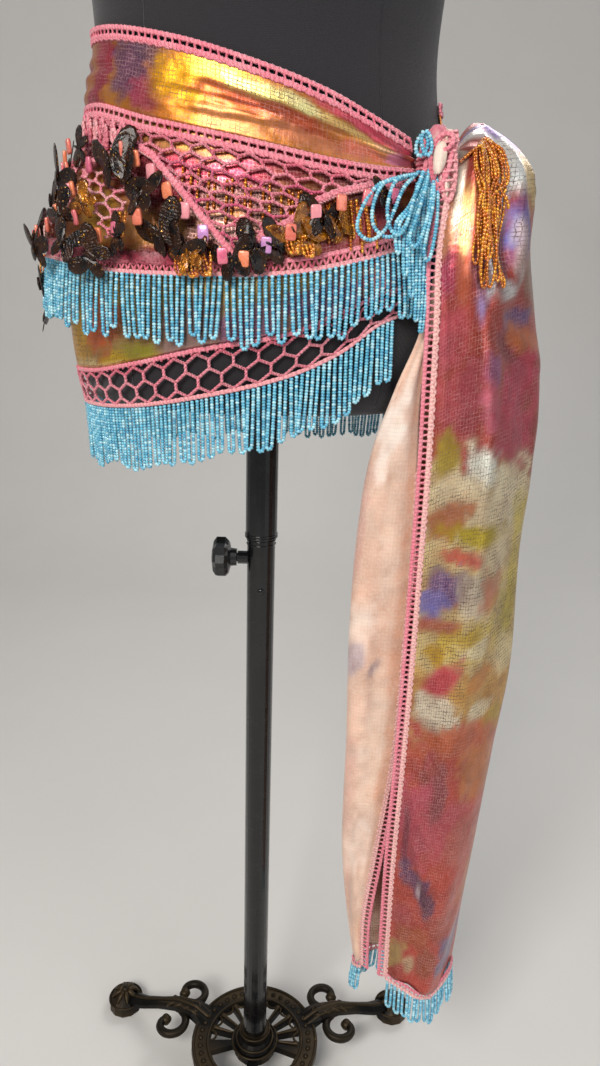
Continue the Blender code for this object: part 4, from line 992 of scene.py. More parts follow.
frontNet = fanNet("frontFanNet", frontFan, (roseDeep, rose, tint("d85a7e")), 0.0008, "front_fan")
sideNet = fanNet("sideFanNet", sideFan, (roseDeep, rose), 0.0008, "side_fan")
smallNet = fanNet("smallFanNet", smallFan, (rose, rosePale), -0.0006)
frontCord = fanBorder("frontFanCord", frontFan, "front_fan_border")
sideCord = fanBorder("sideFanCord", sideFan, "side_fan_border")
print("fans crocheted")


def skirtHeader():
    # close crochet that carries the upper fringe
    start, end = belt["headerEnds"]
    place, length = hipPlace(start, end, 0.88, skirtEdge, lambda turn, height: 0.0042 + flareAt(turn))
    heap = newHeap()
    addYarn(heap, place, [(0, 0.0092), (length, 0.0092)], 0.0012, "border", rose)
    addYarn(heap, place, [(0, 0.0012), (length, 0.0012)], 0.0012, "border", rosePale)
    s = np.arange(0, length, 0.0026)
    zigzag = np.stack([s, np.where(np.arange(len(s)) % 2, 0.0084, 0.0020)], 1)
    addYarn(heap, place, zigzag, 0.0009, "rung", roseDeep)
    return heapPiece("skirtHeader", heap, "crochet")


headerPiece = skirtHeader()

# fringes of seed beads: each string goes down, turns at its foot and comes back up
seedBead = {"radius": 0.00172, "pitch": 0.0022, "look": "turquoise",
            "tints": ("68bad2", "48a0c2", "88cce0", "58adca", "a8dae6")}
beadSeed = np.random.default_rng(77)


def beadTints(count, codes):
    shades = np.array([tint(code) for code in codes])
    return shades[beadSeed.integers(0, len(codes), count)] * (0.86 + 0.28 * beadSeed.random((count, 1)))


def loopPath(left, right, drop, sway, lift):
    # s, h and out along a hanging loop between two places on its edge
    radius = abs(right - left) / 2
    down = np.linspace(0, 1, 9)[:, None]
    foot = radius - drop
    turns = np.linspace(math.pi, math.tau, 9)[1:-1, None]
    sway = np.array([sway, 0.0, 0.0])
    first = [left, 0, 0] + down * [0, foot, lift] + sway * down**1.5
    arc = [(left + right) / 2, foot, lift] + radius * np.cos(turns) * [1, 0, 0]
    arc = arc + radius * np.sin(turns) * [0, 1, 0]
    last = [right, 0, 0] + down[::-1] * [0, foot, lift * 1.1] + sway * down[::-1] ** 1.5
    return np.concatenate([first, arc + sway, last])


def awayFromPole(points):
    return unit(points * [1, 1, 0] + [0, 0, 1e-6])


def stringPiece(name, paths, replaced, bead=seedBead, outwardOf=awayFromPole):
    # beads threaded on paths in space
    strings = [resample(path, bead["pitch"])[0] for path in paths]
    centres = np.concatenate([(points[1:] + points[:-1]) / 2 for points in strings])
    tangents = np.concatenate([unit(points[1:] - points[:-1]) for points in strings])
    size = bead["radius"] * (0.93 + 0.14 * beadSeed.random(len(centres)))
    heap = newHeap()
    addBeads(heap, centres, tangents, outwardOf(centres), size, bead["pitch"] * 1.06,
             beadTints(len(centres), bead["tints"]))
    return heapPiece(name, heap, bead["look"], replaced)


def hipFringe(name, replaced, look, topOf, outOf):
    lengths, turns = arcTable(*look["ends"], look["level"])
    count = round(lengths[-1] / (2 * look["spacing"]))
    step = lengths[-1] / count
    each = np.arange(count)
    lean = look["clump"] * (np.sin(1.31 * each) + np.sin(0.47 * each + 1) + np.sin(2.3 * each))
    paths = []
    for k in range(count):
        left, right = (step * (k + place + 0.06 * (beadSeed.random() - 0.5)) for place in (0.25, 0.75))
        drop = look["drop"] * (1 + 0.05 * math.sin(0.9 * k) + look["uneven"] * (beadSeed.random() - 0.5))
        sway = lean[k] + 0.0016 * (beadSeed.random() - 0.5)
        path = loopPath(left, right, drop, sway, look["swing"] * beadSeed.random())
        turn = np.interp(path[:, 0], lengths, turns)
        top = topOf(turn)
        # strings hang plumb from their edge, and lie on the hip only where it is wider below
        rest = np.clip(top + path[:, 1] * look["follow"], look["widest"], None)
        points = hipPoint(turn, np.minimum(rest, np.maximum(top, look["widest"])), outOf(turn) + path[:, 2])
        points[:, 2] = top + path[:, 1]
        paths.append(points)
    return stringPiece(name, paths, replaced)


upperStrings = hipFringe("upperFringe", "upper_fringe", {
    "ends": (-287.0, 59.0), "level": 0.86, "spacing": 0.0045, "drop": 0.0440, "uneven": 0.22, "swing": 0.0026,
    "clump": 0.0012, "follow": 1.0, "widest": 0.842,
}, lambda turn: skirtEdge(turn) + 0.0004, lambda turn: 0.0055 + flareAt(turn))
lowerStrings = hipFringe("lowerFringe", "lower_fringe", {
    "ends": (-279.0, 38.5), "level": 0.78, "spacing": 0.0039, "drop": 0.0462, "uneven": 0.10, "swing": 0.0018,
    "clump": 0.0009, "follow": 0.45, "widest": 0.700,
}, lambda turn: hemLow(turn) - 0.0006, lambda turn: belt["skin"] + 0.0008)
print("hip fringes strung")


# the two ends of the sash, each folded, in millimetres: height, then x and y at five places across
frontRows = np.array((
    (200, 135.5, -68, 166, -78, 204, -45, 190, -12, 155, 2),
    (270, 134.5, -70, 170, -80, 211, -40, 195, -5, 155, 8),
    (350, 134, -72, 176, -82, 218, -38, 200, 2, 158, 12),
    (450, 135.5, -74, 180, -82, 223, -35, 205, 8, 158, 18),
    (550, 136.5, -77, 183, -83, 228, -35, 208, 10, 160, 20),
    (650, 136.5, -80, 183, -85, 227, -32, 210, 15, 160, 25),
    (730, 136, -85, 184, -85, 230, -30, 214, 20, 168, 35),
    (800, 134, -90, 182, -86, 229, -22, 216, 25, 178, 42),
    (850, 132, -94, 178, -87, 221, -15, 212, 30, 184, 45),
    (900, 130, -94, 172, -85, 213, -12, 205, 30, 180, 45),
    (935, 134.5, -86, 172, -77, 212, -10, 202, 35, 172, 48),
    (965, 138.5, -73.5, 174, -60, 208, -5, 196, 35, 160, 50),
    (985, 147, -44, 165, -40, 190, 0, 180, 35, 150, 48),
    (1004, 148, -15, 153, -10, 160, 10, 156, 28, 147, 38),
)) / 1000
rearRows = np.array((
    (200, 152, -34, 130, -26, 107, -38, 108, -48, 112, -53),
    (270, 158, -32, 124, -22, 97, -38, 99, -50, 109, -55),
    (350, 162, -30, 120, -20, 90, -40, 97, -55, 116, -58),
    (460, 165, -30, 118, -20, 87, -42, 99, -58, 127, -58),
    (570, 165, -30, 118, -22, 85, -42, 99, -59, 130, -58),
    (660, 165, -30, 120, -28, 88, -45, 101, -62, 131, -62),
    (740, 165, -44, 123, -53, 94, -64, 105, -75, 128, -73),
    (800, 165, -60, 131, -74, 107.5, -87.5, 112, -90.5, 125, -85),
    (840, 165, -68, 143, -75, 122.5, -82.5, 124.5, -85.8, 130, -86.8),
    (890, 152, -64, 141.5, -76, 129.8, -83.8, 132.2, -87.6, 138.5, -87.6),
    (940, 142, -66, 134.5, -72, 126.2, -77, 129, -81.8, 135, -82.2),
)) / 1000
# lower and upper edges of the two ends: share across, height
frontHem = ((0, 0.217), (1 / 6, 0.212), (1 / 3, 0.197), (1 / 2, 0.211), (2 / 3, 0.205), (1, 0.221))
frontTop = ((0, 0.955), (0.12, 0.972), (0.30, 0.990), (0.52, 1.000), (0.78, 0.996), (1, 0.985))
rearHem = ((0, 0.214), (0.5, 0.208), (1, 0.216))
knotPlace = np.array([0.1253, -0.0763, 0.960])


def sectionPoint(rows, share, height):
    # smooth curve through the five places across a sash end
    share, height = np.broadcast_arrays(np.asarray(share, float), np.asarray(height, float))
    step = np.clip(share, 0, 1) * 4
    i = np.minimum(step.astype(int), 3)
    made = []
    for first in (1, 2):
        values = np.stack([rowValue(rows, height, column) for column in range(first, 11, 2)], -1)
        beyond = 2 * values[..., [0, -1]] - values[..., [1, -2]]
        values = np.concatenate([beyond[..., :1], values, beyond[..., 1:]], -1)
        around = (np.take_along_axis(values, (i + k)[..., None], -1)[..., 0] for k in range(4))
        made.append(bendValue(*around, step - i))
    return np.stack([*made, height], -1)


def sectionSide(rows, share, height):
    low, high = (np.clip(np.asarray(share, float) + slip, 0, 1) for slip in (-0.02, 0.02))
    return unit(sectionPoint(rows, high, height) - sectionPoint(rows, low, height))


def sectionOut(rows, share, height):
    side = sectionSide(rows, share, height)
    return np.stack([side[..., 1], -side[..., 0], side[..., 2] * 0], -1)


def sectionSpot(rows, share, height, out):
    return sectionPoint(rows, share, height) + sectionOut(rows, share, height) * np.asarray(out)[..., None]


# blots of colour: share across, height, half sizes, colour, then strength if not 0.9 and slant
frontSash = {
    "size": (0.25, 0.79), "cells": (80, 200), "looks": ("foil", "reverse"), "base": "b4483a", "seed": 71,
    "grain": (0.020, 0.0060), "turnIn": 0.94,  # above this share it turns in over its shoulder
    "ripple": 0.0022, "upperRipple": 0.0024, "crease": 0.0028, "crumple": 0.0010, "pleat": 0.0062,
    "lowFold": 0.0048, "hemFold": 0.0022, "ring": 0.0062, "ringDip": 0.0020, "tuck": 0.0040,
    "tuckDip": 0.0030,
    "blots": (
        (0.3, 0.69, 0.8, 0.055, "e8cf9c", 1.0), (0.3, 0.59, 0.8, 0.075, "dcc088", 1.0),
        (0.3, 0.53, 0.8, 0.03, "cc9c54"), (0.46, 0.955, 0.1, 0.03, "ecd090"),
        # painted highlight: fbf6ec is a near-white highlight on the folds over the shoulder
        (0.36, 0.984, 0.14, 0.012, "7c68ac", 0.95), (0.26, 0.958, 0.1, 0.024, "fbf6ec", 1.0),
        (0.4, 0.952, 0.035, 0.014, "f0d49c"), (0.37, 0.915, 0.06, 0.026, "6c6cb4", 0.95),
        (0.27, 0.925, 0.045, 0.024, "c4c6e0", 0.95), (0.15, 0.93, 0.05, 0.04, "b87834"),
        (0.015, 0.948, 0.03, 0.018, "d4a094", 0.95), (0.02, 0.918, 0.04, 0.026, "c4805a", 0.95),
        # painted highlight: fff2dc is a narrow highlight along a fold near the left edge
        (0.05, 0.95, 0.02, 0.03, "fff2dc", 0.95), (0.095, 0.915, 0.022, 0.026, "f6cc84", 0.95, -0.3),
        (0.03, 0.878, 0.05, 0.017, "b03454", 0.95), (0.11, 0.876, 0.03, 0.018, "cc6444"),
        # painted highlight round the round fold: d8d0d2 here, then eae2de and dcc4bc on the next two lines
        (0.16, 0.872, 0.04, 0.018, "6a4658"), (0.2, 0.893, 0.022, 0.022, "d8d0d2", 0.95),
        (0.27, 0.896, 0.04, 0.022, "6a4650"), (0.28, 0.871, 0.065, 0.007, "eae2de", 0.95),
        (0.355, 0.892, 0.022, 0.024, "dcc4bc"), (0.44, 0.875, 0.06, 0.03, "94705a"),
        (0.36, 0.852, 0.08, 0.01, "6c5484"), (0.165, 0.856, 0.02, 0.01, "80709c", 0.85),
        # painted shade: 8c2c34 is a thin dark line along the crease of the tuck
        (0.4, 0.836, 0.1, 0.012, "d0703c", 0.95, -0.06), (0.31, 0.828, 0.08, 0.007, "8c2c34", 0.9, -0.14),
        (0.06, 0.835, 0.08, 0.028, "c4525c", 0.95), (0.07, 0.785, 0.09, 0.024, "c05058"),
        (0.14, 0.79, 0.06, 0.026, "ac4852"), (0.23, 0.818, 0.05, 0.014, "a0608c", 0.85),
        (0.22, 0.79, 0.05, 0.02, "d06878"), (0.36, 0.795, 0.1, 0.024, "c83c54", 0.95),
        (0.34, 0.765, 0.12, 0.018, "cc4a5c"), (0.06, 0.748, 0.05, 0.018, "b49a34"),
        # painted highlight: fffbe8 is the white highlight across the middle of the sash
        (0.22, 0.738, 0.12, 0.018, "fffbe8", 1.0), (0.4, 0.75, 0.08, 0.016, "c84858"),
        (0.16, 0.712, 0.15, 0.022, "f0dcb4"), (0.38, 0.712, 0.12, 0.034, "f4e2bc"),
        (0.09, 0.692, 0.08, 0.016, "b8683c", 0.9, 0.1), (0.24, 0.684, 0.18, 0.013, "b8a02c", 0.95),
        (0.46, 0.67, 0.06, 0.04, "d8c060", 0.85), (0.34, 0.66, 0.1, 0.016, "ecd8b0"),
        (0.14, 0.664, 0.08, 0.008, "cc5848"), (0.12, 0.64, 0.1, 0.022, "5a4c80", 0.9, 0.1),
        (0.06, 0.62, 0.07, 0.013, "6a66a4"), (0.19, 0.638, 0.04, 0.015, "a89490", 0.8),
        (0.24, 0.628, 0.09, 0.018, "d8c8b0"), (0.32, 0.632, 0.06, 0.02, "c06c48", 0.85),
        (0.1, 0.6, 0.08, 0.009, "a85038"), (0.42, 0.6, 0.08, 0.034, "c8b458"),
        (0.22, 0.585, 0.16, 0.016, "d8b850"), (0.26, 0.578, 0.08, 0.01, "ecdcb4", 0.85),
        (0.44, 0.56, 0.06, 0.024, "e4d0a0", 0.85), (0.14, 0.555, 0.09, 0.014, "c43c4c", 0.95, 0.1),
        (0.3, 0.552, 0.09, 0.014, "c8843c"), (0.08, 0.575, 0.05, 0.01, "c89c34"),
        (0.14, 0.518, 0.12, 0.017, "dccfb8", 0.95, -0.05), (0.34, 0.518, 0.06, 0.014, "e8d8b4"),
        (0.42, 0.5, 0.06, 0.016, "c8a83c"), (0.22, 0.486, 0.22, 0.02, "b85c38", 0.95),
        # painted shade: the dark red-brown 8a4038 here and 783a3e on the next line
        (0.15, 0.455, 0.05, 0.034, "8a4038", 0.85), (0.06, 0.415, 0.12, 0.05, "b24c5c", 0.95),
        (0.24, 0.4, 0.14, 0.036, "b04a54"), (0.17, 0.43, 0.04, 0.034, "783a3e", 0.8),
        (0.38, 0.455, 0.1, 0.03, "c47a48"), (0.36, 0.38, 0.1, 0.032, "b05c50"),
        (0.05, 0.38, 0.022, 0.034, "7a2e40", 0.85, -0.2), (0.08, 0.345, 0.08, 0.02, "5c3c5a", 0.95, -0.15),
        # painted glint: e0c8cc is a short glint line
        (0.19, 0.312, 0.07, 0.016, "563650", 0.95, -0.15), (0.145, 0.333, 0.01, 0.014, "e0c8cc", 0.7, -0.4),
        (0.05, 0.296, 0.07, 0.013, "ac4a4c"), (0.16, 0.27, 0.1, 0.016, "a85636"),
        (0.44, 0.33, 0.06, 0.04, "bc6a3c"), (0.31, 0.28, 0.08, 0.018, "9c4434"),
        (0.05, 0.246, 0.07, 0.015, "b89a62"), (0.14, 0.24, 0.04, 0.011, "d8b894", 0.8),
        (0.26, 0.242, 0.07, 0.014, "8c4830", 0.85), (0.41, 0.244, 0.09, 0.024, "6a6280", 0.95),
        (0.7, 0.78, 0.1, 0.08, "b8702c"), (0.88, 0.82, 0.1, 0.05, "8a3058"),
        (0.72, 0.64, 0.12, 0.05, "d0a048"), (0.92, 0.68, 0.1, 0.07, "5c4484"),
        (0.78, 0.52, 0.14, 0.05, "a08c2c"), (0.74, 0.39, 0.12, 0.06, "a82c44"),
        (0.94, 0.47, 0.1, 0.06, "c07034"), (0.8, 0.27, 0.14, 0.04, "6a3c68"),
        (0.64, 0.94, 0.1, 0.05, "c0562c"), (0.86, 0.95, 0.12, 0.05, "6a5298"),
    ),
}
rearSash = {
    "size": (0.13, 0.73), "cells": (44, 150), "looks": ("reverse", "foil"), "base": "e6bfa8", "seed": 75,
    "grain": (0.022, 0.008), "top": 0.9377, "ripple": 0.0024, "crease": 0.0022,
    "blots": (
        (0.6, 0.9, 0.3, 0.03, "c89a84", 0.8), (0.72, 0.77, 0.16, 0.04, "fbe9dc"),
        (0.88, 0.69, 0.1, 0.08, "eccab4", 0.8), (0.52, 0.68, 0.1, 0.06, "c8988c", 0.7),
        (0.7, 0.59, 0.14, 0.03, "f4dccb", 0.8), (0.62, 0.555, 0.09, 0.018, "a89aa8", 0.75, 0.05),
        (0.8, 0.548, 0.06, 0.008, "8c7c8c", 0.7, 0.1), (0.85, 0.47, 0.14, 0.06, "f0d2bc", 0.8),
        (0.58, 0.43, 0.12, 0.06, "dcae9c", 0.8), (0.8, 0.36, 0.16, 0.03, "f0d8c8", 0.7),
        (0.66, 0.3, 0.12, 0.03, "d8a894", 0.8), (0.86, 0.25, 0.1, 0.03, "e8c0a4", 0.8),
        (0.2, 0.6, 0.16, 0.2, "b8785c", 0.8), (0.18, 0.33, 0.16, 0.12, "a86a58", 0.8),
        # painted shadow: d8946c is a long orange-brown band of shade along the free edge, under the front
        # end's edging
        (0.96, 0.56, 0.05, 0.3, "d8946c", 0.5),
    ),
}


def frontLevel(across, up):
    body = np.clip(up / frontSash["turnIn"], 0, 1)
    return mixValue(straightValue(frontHem, across), rowValue(frontTop, across), body)


def frontFolds(across, height):
    look = frontSash
    wave = np.sin(math.tau * (3.2 * across + 0.35 * np.sin(height * 7.0)) - 0.8)
    ripple = (look["ripple"] + look["upperRipple"] * ramp(0.55, 0.95, height)) * wave
    crease = look["crease"] * cloudNoise(across * 13.0 + 0.6 * height, height * 5.5 + 3, 61)
    crumple = look["crumple"] * cloudNoise(across * 22.0, height * 34.0, 62)
    low = look["lowFold"] * bell((across - 0.03 - 1.7 * (0.425 - height)) / 0.030)
    low = low * ramp(0.28, 0.33, height) * ramp(0.46, 0.40, height)
    hem = look["hemFold"] * bell((across - 0.33 - 1.4 * (height - 0.235)) / 0.045) * ramp(0.33, 0.24, height)
    # pleats that run up into the knot
    pleats = np.abs((across * 8.5 + 0.25 * np.sin(height * 40.0)) % 1.0 - 0.5) * 2.0
    pleat = look["pleat"] * (pleats**1.6 - 0.35) * ramp(0.86, 0.955, height) * ramp(0.66, 0.45, across)
    # a round fold high on the sash, and a tuck under it
    away = np.hypot((across - 0.278) / 0.085, (height - 0.908) / 0.038)
    ring = look["ring"] * bell((away - 1.0) / 0.30) * ramp(0.940, 0.905, height)
    tuck = height - 0.832 + 0.14 * (across - 0.31)
    tucked = look["tuck"] * bell((tuck - 0.010) / 0.009) - look["tuckDip"] * bell(tuck / 0.006)
    swag = ring - look["ringDip"] * ramp(0.9, 0.3, away) + tucked * bell((across - 0.36) / 0.10)
    calm = 1.0 - ramp(0.95, 1.0, height)
    fade = ramp(0.0, 0.10, across) * ramp(0.0, 0.08, 1.0 - across)
    rise = ripple * calm + crease * (0.4 + 0.6 * calm) + crumple * ramp(0.0, 0.05, across)
    return fade * (rise + low + hem + pleat + swag)


def frontPlace(across, up):
    height = frontLevel(across, up)
    points = sectionSpot(frontRows, across, height, frontFolds(across, height))
    # over the shoulder and down into the knot
    turnIn = ramp(0.0, 1.0, (up - frontSash["turnIn"]) / (1 - frontSash["turnIn"]))
    target = knotPlace + [0.016, 0.016, 0.010] + np.multiply.outer(across, [-0.010, 0.034, -0.030])
    points = mixValue(points, target, (0.92 * turnIn)[..., None])
    points[..., 2] += 0.006 * np.sin(math.pi * turnIn) * ramp(0.0, 0.3, across)
    return points


def rearLevel(across, up):
    return mixValue(straightValue(rearHem, across), rearSash["top"], up)


def rearPlace(across, up):
    height = rearLevel(across, up)
    fade = ramp(0.0, 0.2, across) * ramp(0.0, 0.14, 1.0 - across) * (1.0 - ramp(0.80, 0.88, height))
    wave = np.sin(math.tau * (2.4 * across + 0.25 * np.sin(height * 9.0)))
    crease = rearSash["crease"] * cloudNoise(across * 9.0 + height, height * 7.0, 63)
    return sectionSpot(rearRows, across, height, fade * (rearSash["ripple"] * wave + crease))


def sashEnd(name, sash, place, levelOf, replaced):
    def paint(across, up):
        height = levelOf(across, up)
        return paintBlots(sash, across, height, across * sash["size"][0], height, sash["seed"], sash["grain"])

    return clothPiece(name, *sash["cells"], place, paint, sash["size"], sash["looks"], replaced)


frontEnd = sashEnd("sashFrontEnd", frontSash, frontPlace, frontLevel, "sash_front_end")
rearEnd = sashEnd("sashRearEnd", rearSash, rearPlace, rearLevel, "sash_rear_end")

sashTrim = {"foot": 0.0016, "lift": 0.0008, "pitch": 0.0048, "upper": rose, "lower": tint("f6c4bc"),
            "rung": rose, "picot": 0.0018}
hemTrim = dict(sashTrim, foot=-0.0070, head=-0.0010, pitch=0.0052, picot=0.0010)


def sashEdging(name, rows, share, top, low, width, replaced):
    def place(s, h, out):
        # s runs down a free edge from its top, h away from the cloth
        height = top - s
        away = sectionSide(rows, share, height) * (1.0 if share else -1.0)
        return sectionSpot(rows, share, height, out) + away * np.asarray(h)[..., None]

    heap = newHeap()
    addLadder(heap, place, top - low, dict(sashTrim, head=width))
    return heapPiece(name, heap, "crochet", replaced)


frontEdging = sashEdging("sashFrontEdging", frontRows, 0, 0.9560, 0.2120, 0.0080, "sash_front_edging")
rearEdging = sashEdging("sashRearEdging", rearRows, 1, 0.7310, 0.2120, 0.0078, "sash_rear_edging")


def awayFromSash(points):
    return unit(points - [0.165, -0.03, 0] - points * [0, 0, 1])


def sashFringe(name, rows, hem, count, length, replaced):
    # crochet along the lower edge of a sash end, and its bead loops
    shares = np.linspace(0, 1, 60)
    lengths = along(sectionPoint(rows, shares, straightValue(hem, shares)))

    def place(s, h, out):
        share = np.interp(s, lengths, shares)
        low = straightValue(hem, share)
        points = sectionSpot(rows, share, low, out)
        points[..., 2] += h
        return points

    trim = newHeap()
    addLadder(trim, place, lengths[-1], hemTrim)
    edging = heapPiece(name + "Edging", trim, "crochet")
    paths = []
    step = lengths[-1] / count
    for k in range(count):
        drop = length * (1 + 0.16 * (beadSeed.random() - 0.5))
        path = loopPath(step * (k + 0.22), step * (k + 0.78), drop, 0.003 * (beadSeed.random() - 0.5),
                        0.003 * beadSeed.random())
        paths.append(place(np.clip(path[:, 0], 0, lengths[-1]), path[:, 1] - 0.0078, path[:, 2] + 0.0006))
    return edging, stringPiece(name, paths, replaced, outwardOf=awayFromSash)


frontHemTrim, frontFringe = sashFringe("sashFrontFringe", frontRows, frontHem, 20, 0.0300,
                                       "sash_front_fringe")
rearHemTrim, rearFringe = sashFringe("sashRearFringe", rearRows, rearHem, 9, 0.0270, "sash_rear_fringe")
print("sash ends hung")


# knot: a bundle of gathered cloth with crocheted loops and bead strings drawn through it
knotLook = {
    "rows": ((-0.0220, 0.0055), (-0.0160, 0.0100), (-0.0050, 0.0116), (0.0070, 0.0106), (0.0150, 0.0086),
             (0.0215, 0.0040)),
    "columns": 40, "lines": 30, "size": (0.07, 0.05), "base": "d06a80", "blots": (
        (0.70, 0.55, 0.12, 0.22, "f6e0d0", 0.95), (0.62, 0.25, 0.10, 0.15, "b02c4c"),
        (0.85, 0.30, 0.10, 0.20, "e8b0a0"), (0.25, 0.50, 0.20, 0.30, "a8344c")),
    # crocheted loops: centre from the knot's, half width, half height, lean, yarn
    "loops": (
        ((0.0020, -0.0135, -0.002), 0.0060, 0.0170, 0.10, rose),
        ((0.0070, -0.0130, -0.008), 0.0050, 0.0210, -0.06, rosePale),
        ((-0.0010, -0.0140, -0.008), 0.0045, 0.0150, -0.20, roseDeep),
        ((0.0020, -0.0150, 0.0085), 0.0066, 0.0058, 0.30, rose),
        ((0.0072, -0.0125, 0.0065), 0.0038, 0.0090, 0.20, rosePale),
        ((-0.0050, -0.0120, -0.006), 0.0040, 0.0130, 0.15, rose)),
    # folded tabs and bead rings: centre, half width, half height, lean
    "tabs": (
        ((0.0000, -0.0152, -0.0015), 0.0048, 0.0105, 0.1), ((0.0052, -0.0124, -0.017), 0.0036, 0.0095, -0.1),
        ((0.0040, -0.0118, 0.0125), 0.0046, 0.0052, 0.4)),
    "rings": (
        ((-0.0125, -0.0125, 0.006), 0.004, 0.0068, 0.1), ((-0.0095, -0.0138, 0.0075), 0.0034, 0.008, -0.2)),
}


def localPlace(centre, right, up):
    # a small flat place of its own, for loops
    right, up = (unit(np.array(v, float)) for v in (right, up))
    axes = right, up, np.cross(right, up)

    def place(*amounts):
        return centre + sum(np.multiply.outer(np.asarray(v, float), axis) for v, axis in zip(amounts, axes))

    return place


def ovalPath(wide, tall, sweep=math.tau):
    angle = np.linspace(0, sweep, 28)
    return np.stack([wide * np.sin(angle), tall * np.cos(angle)], 1)


def knotShape(around, up):
    rise = mixValue(knotLook["rows"][0][0], knotLook["rows"][-1][0], up)
    angle = math.tau * around
    crease = 0.10 * np.cos(4 * angle + rise * 90) + 0.09 * np.abs(np.sin(4.5 * angle + rise * 130)) - 0.04
    reach = rowValue(knotLook["rows"], rise) * (1 + crease)
    points = knotPlace + np.stack([reach * np.cos(angle), reach * np.sin(angle), rise], -1)
    x, y = (share * size for share, size in zip((around, up), knotLook["size"]))
    return points, np.stack([x, y], 1), paintBlots(knotLook, around, up, x, y, 91, (0.010, 0.004))


def knotCrochet():
    heap = newHeap()
    for centre, wide, tall, lean, colour in knotLook["loops"]:
        place = localPlace(knotPlace + centre, (1.0, -0.12 - lean, 0.0), (lean, 0.0, 1.0))
        addYarn(heap, place, ovalPath(wide, tall), 0.0, "border", colour)
    for k in range(7):  # bars across, as the edging runs into the tie
        place = localPlace(knotPlace + (0.0070, -0.0146, -0.022 + 0.0062 * k), (1.0, -0.12, 0.15), upward)
        addYarn(heap, place, [(-0.0046, 0.0), (0.0046, 0.0)], 0.0, "rung", rosePale)
    for turn in (-0.9, 0.0, 0.9, 1.9):  # turns of crochet round the bundle
        place = localPlace(knotPlace + (0, 0, 0.006 * turn - 0.004), (1, 0, 0.18 * turn), (0, 1, 0))
        addYarn(heap, place, ovalPath(0.0128, 0.0128), 0.0, "border", rose)
    return heapPiece("knotCrochet", heap, "crochet")


def creamTabs():
    # folded ends of cloth that peep out between the loops
    heap = newHeap()
    across, up = shareGrid(10, 16, -1)
    for centre, wide, tall, lean in knotLook["tabs"]:
        place = localPlace(knotPlace + centre, (1.0, -0.1 - lean, 0.0), (lean, 0.0, 1.0))
        width = wide * np.sqrt(np.clip(1 - 0.92 * np.abs(up) ** 2.4, 0.02, 1))
        belly = 0.0022 * (1 - across**2) * (1 - up**2) + 0.0006 * np.sin(7 * across + 3 * up)
        uv = np.stack([across * wide, up * tall], 1)
        # painted shade: each tab is darker towards its side edges, where it curves away
        dye = tint("f7e2d2") * (0.85 + 0.15 * np.cos(3 * across))[:, None]
        addTo(heap, place(across * width, up * tall, belly), [gridFaces(10, 16)], uv, dye)
    made = heapPiece("knotTabs", heap, "reverse")
    addWall(made, 0.0007)
    return made


def smoothPath(points, steps=10):
    # rounded line through a few places
    points = np.asarray(points, float)
    padded = np.concatenate([[2 * points[0] - points[1]], points, [2 * points[-1] - points[-2]]])
    t = np.linspace(0, 1, steps, endpoint=False)[:, None]
    return np.concatenate([*(bendValue(*padded[k:k + 4], t) for k in range(len(points) - 1)), points[-1:]])


def hipLine(points):
    return hipPoint(*smoothPath(points).T)


# looped strings of the tie: turn, height in millimetres, millimetres out from the hip
knotLoops = (
    ((46, 952, 21), (42, 936, 24), (38, 915, 24), (36.5, 905, 23), (37.5, 899, 23), (39.5, 904, 24),
     (43, 926, 25), (47, 950, 22)),
    ((47, 952, 22), (44, 930, 26), (41, 905, 25), (40.5, 896, 24), (41.5, 890, 24), (43, 896, 24),
     (45, 920, 26), (48, 950, 23)),
    ((45, 950, 15), (38, 944, 14), (31, 939, 14), (26, 925, 15), (24, 909, 15), (27, 902, 16), (31, 909, 17),
     (34, 922, 17), (38, 938, 16), (44, 950, 16)),
    ((40, 946, 14), (33, 941, 14), (29, 928, 15), (28, 913, 16), (31, 905, 16), (35, 908, 18), (38, 920, 20),
     (42, 942, 19)),
    ((43, 948, 17), (36, 943, 16), (32, 926, 18), (32, 911, 19), (34, 906, 20), (36.5, 914, 21),
     (39, 931, 22), (44, 950, 20)),
)


def knotFringe():
    paths = [hipLine(np.array(loop) / (1, 1000, 1000)) for loop in knotLoops]
    for k, foot in enumerate((0.894, 0.880, 0.866, 0.850, 0.842)):  # long strings that hang beside the sash
        turn, top = 34.3 + 2.05 * k, 0.938 + 0.002 * k
        sway, middle, aside = 0.35 * math.sin(2.1 * k), mixValue(top, foot, 0.55), 0.7 * k
        paths.append(hipLine((
            (46 + 0.3 * k, top + 0.014, 0.018), (turn + 4.0 - aside, top - 0.012, 0.019),
            (turn + sway, middle, 0.0172), (turn, foot + 0.003, 0.0165), (turn + 0.5, foot, 0.0165),
            (turn + 1.02, foot + 0.003, 0.0165), (turn + 1.05 + sway, middle, 0.0175),
            (turn + 4.9 - aside, top - 0.012, 0.0205), (47 + 0.3 * k, top + 0.014, 0.0195))))
    for centre, wide, tall, lean in knotLook["rings"]:
        place = localPlace(knotPlace + centre, (1.0, -0.2, 0.1), (lean, 0.0, 1.0))
        oval = ovalPath(wide, tall, math.tau * 0.96)
        paths.append(place(*oval.T, np.linspace(0, 0.003, len(oval))))
    return stringPiece("knotStrings", paths, "knot_strings")


knotBody = closedPiece("knotBundle", knotLook["columns"], knotLook["lines"], knotShape, "reverse", "knot")
knotYarn = knotCrochet()
knotTabs = creamTabs()
knotStrings = knotFringe()

amberBead = {"radius": 0.00125, "pitch": 0.0027, "look": "amber",
             "tints": ("c86a08", "b05404", "e08a10", "bc5c06", "f0a428")}


def frontSpot(share, height, out):
    low = straightValue(frontHem, share)
    up = (height - low) / (rowValue(frontTop, share) - low)
    points = frontPlace(share, np.clip(up, 0, 1) * frontSash["turnIn"])
    return points + sectionOut(frontRows, share, height) * np.asarray(out)[..., None]


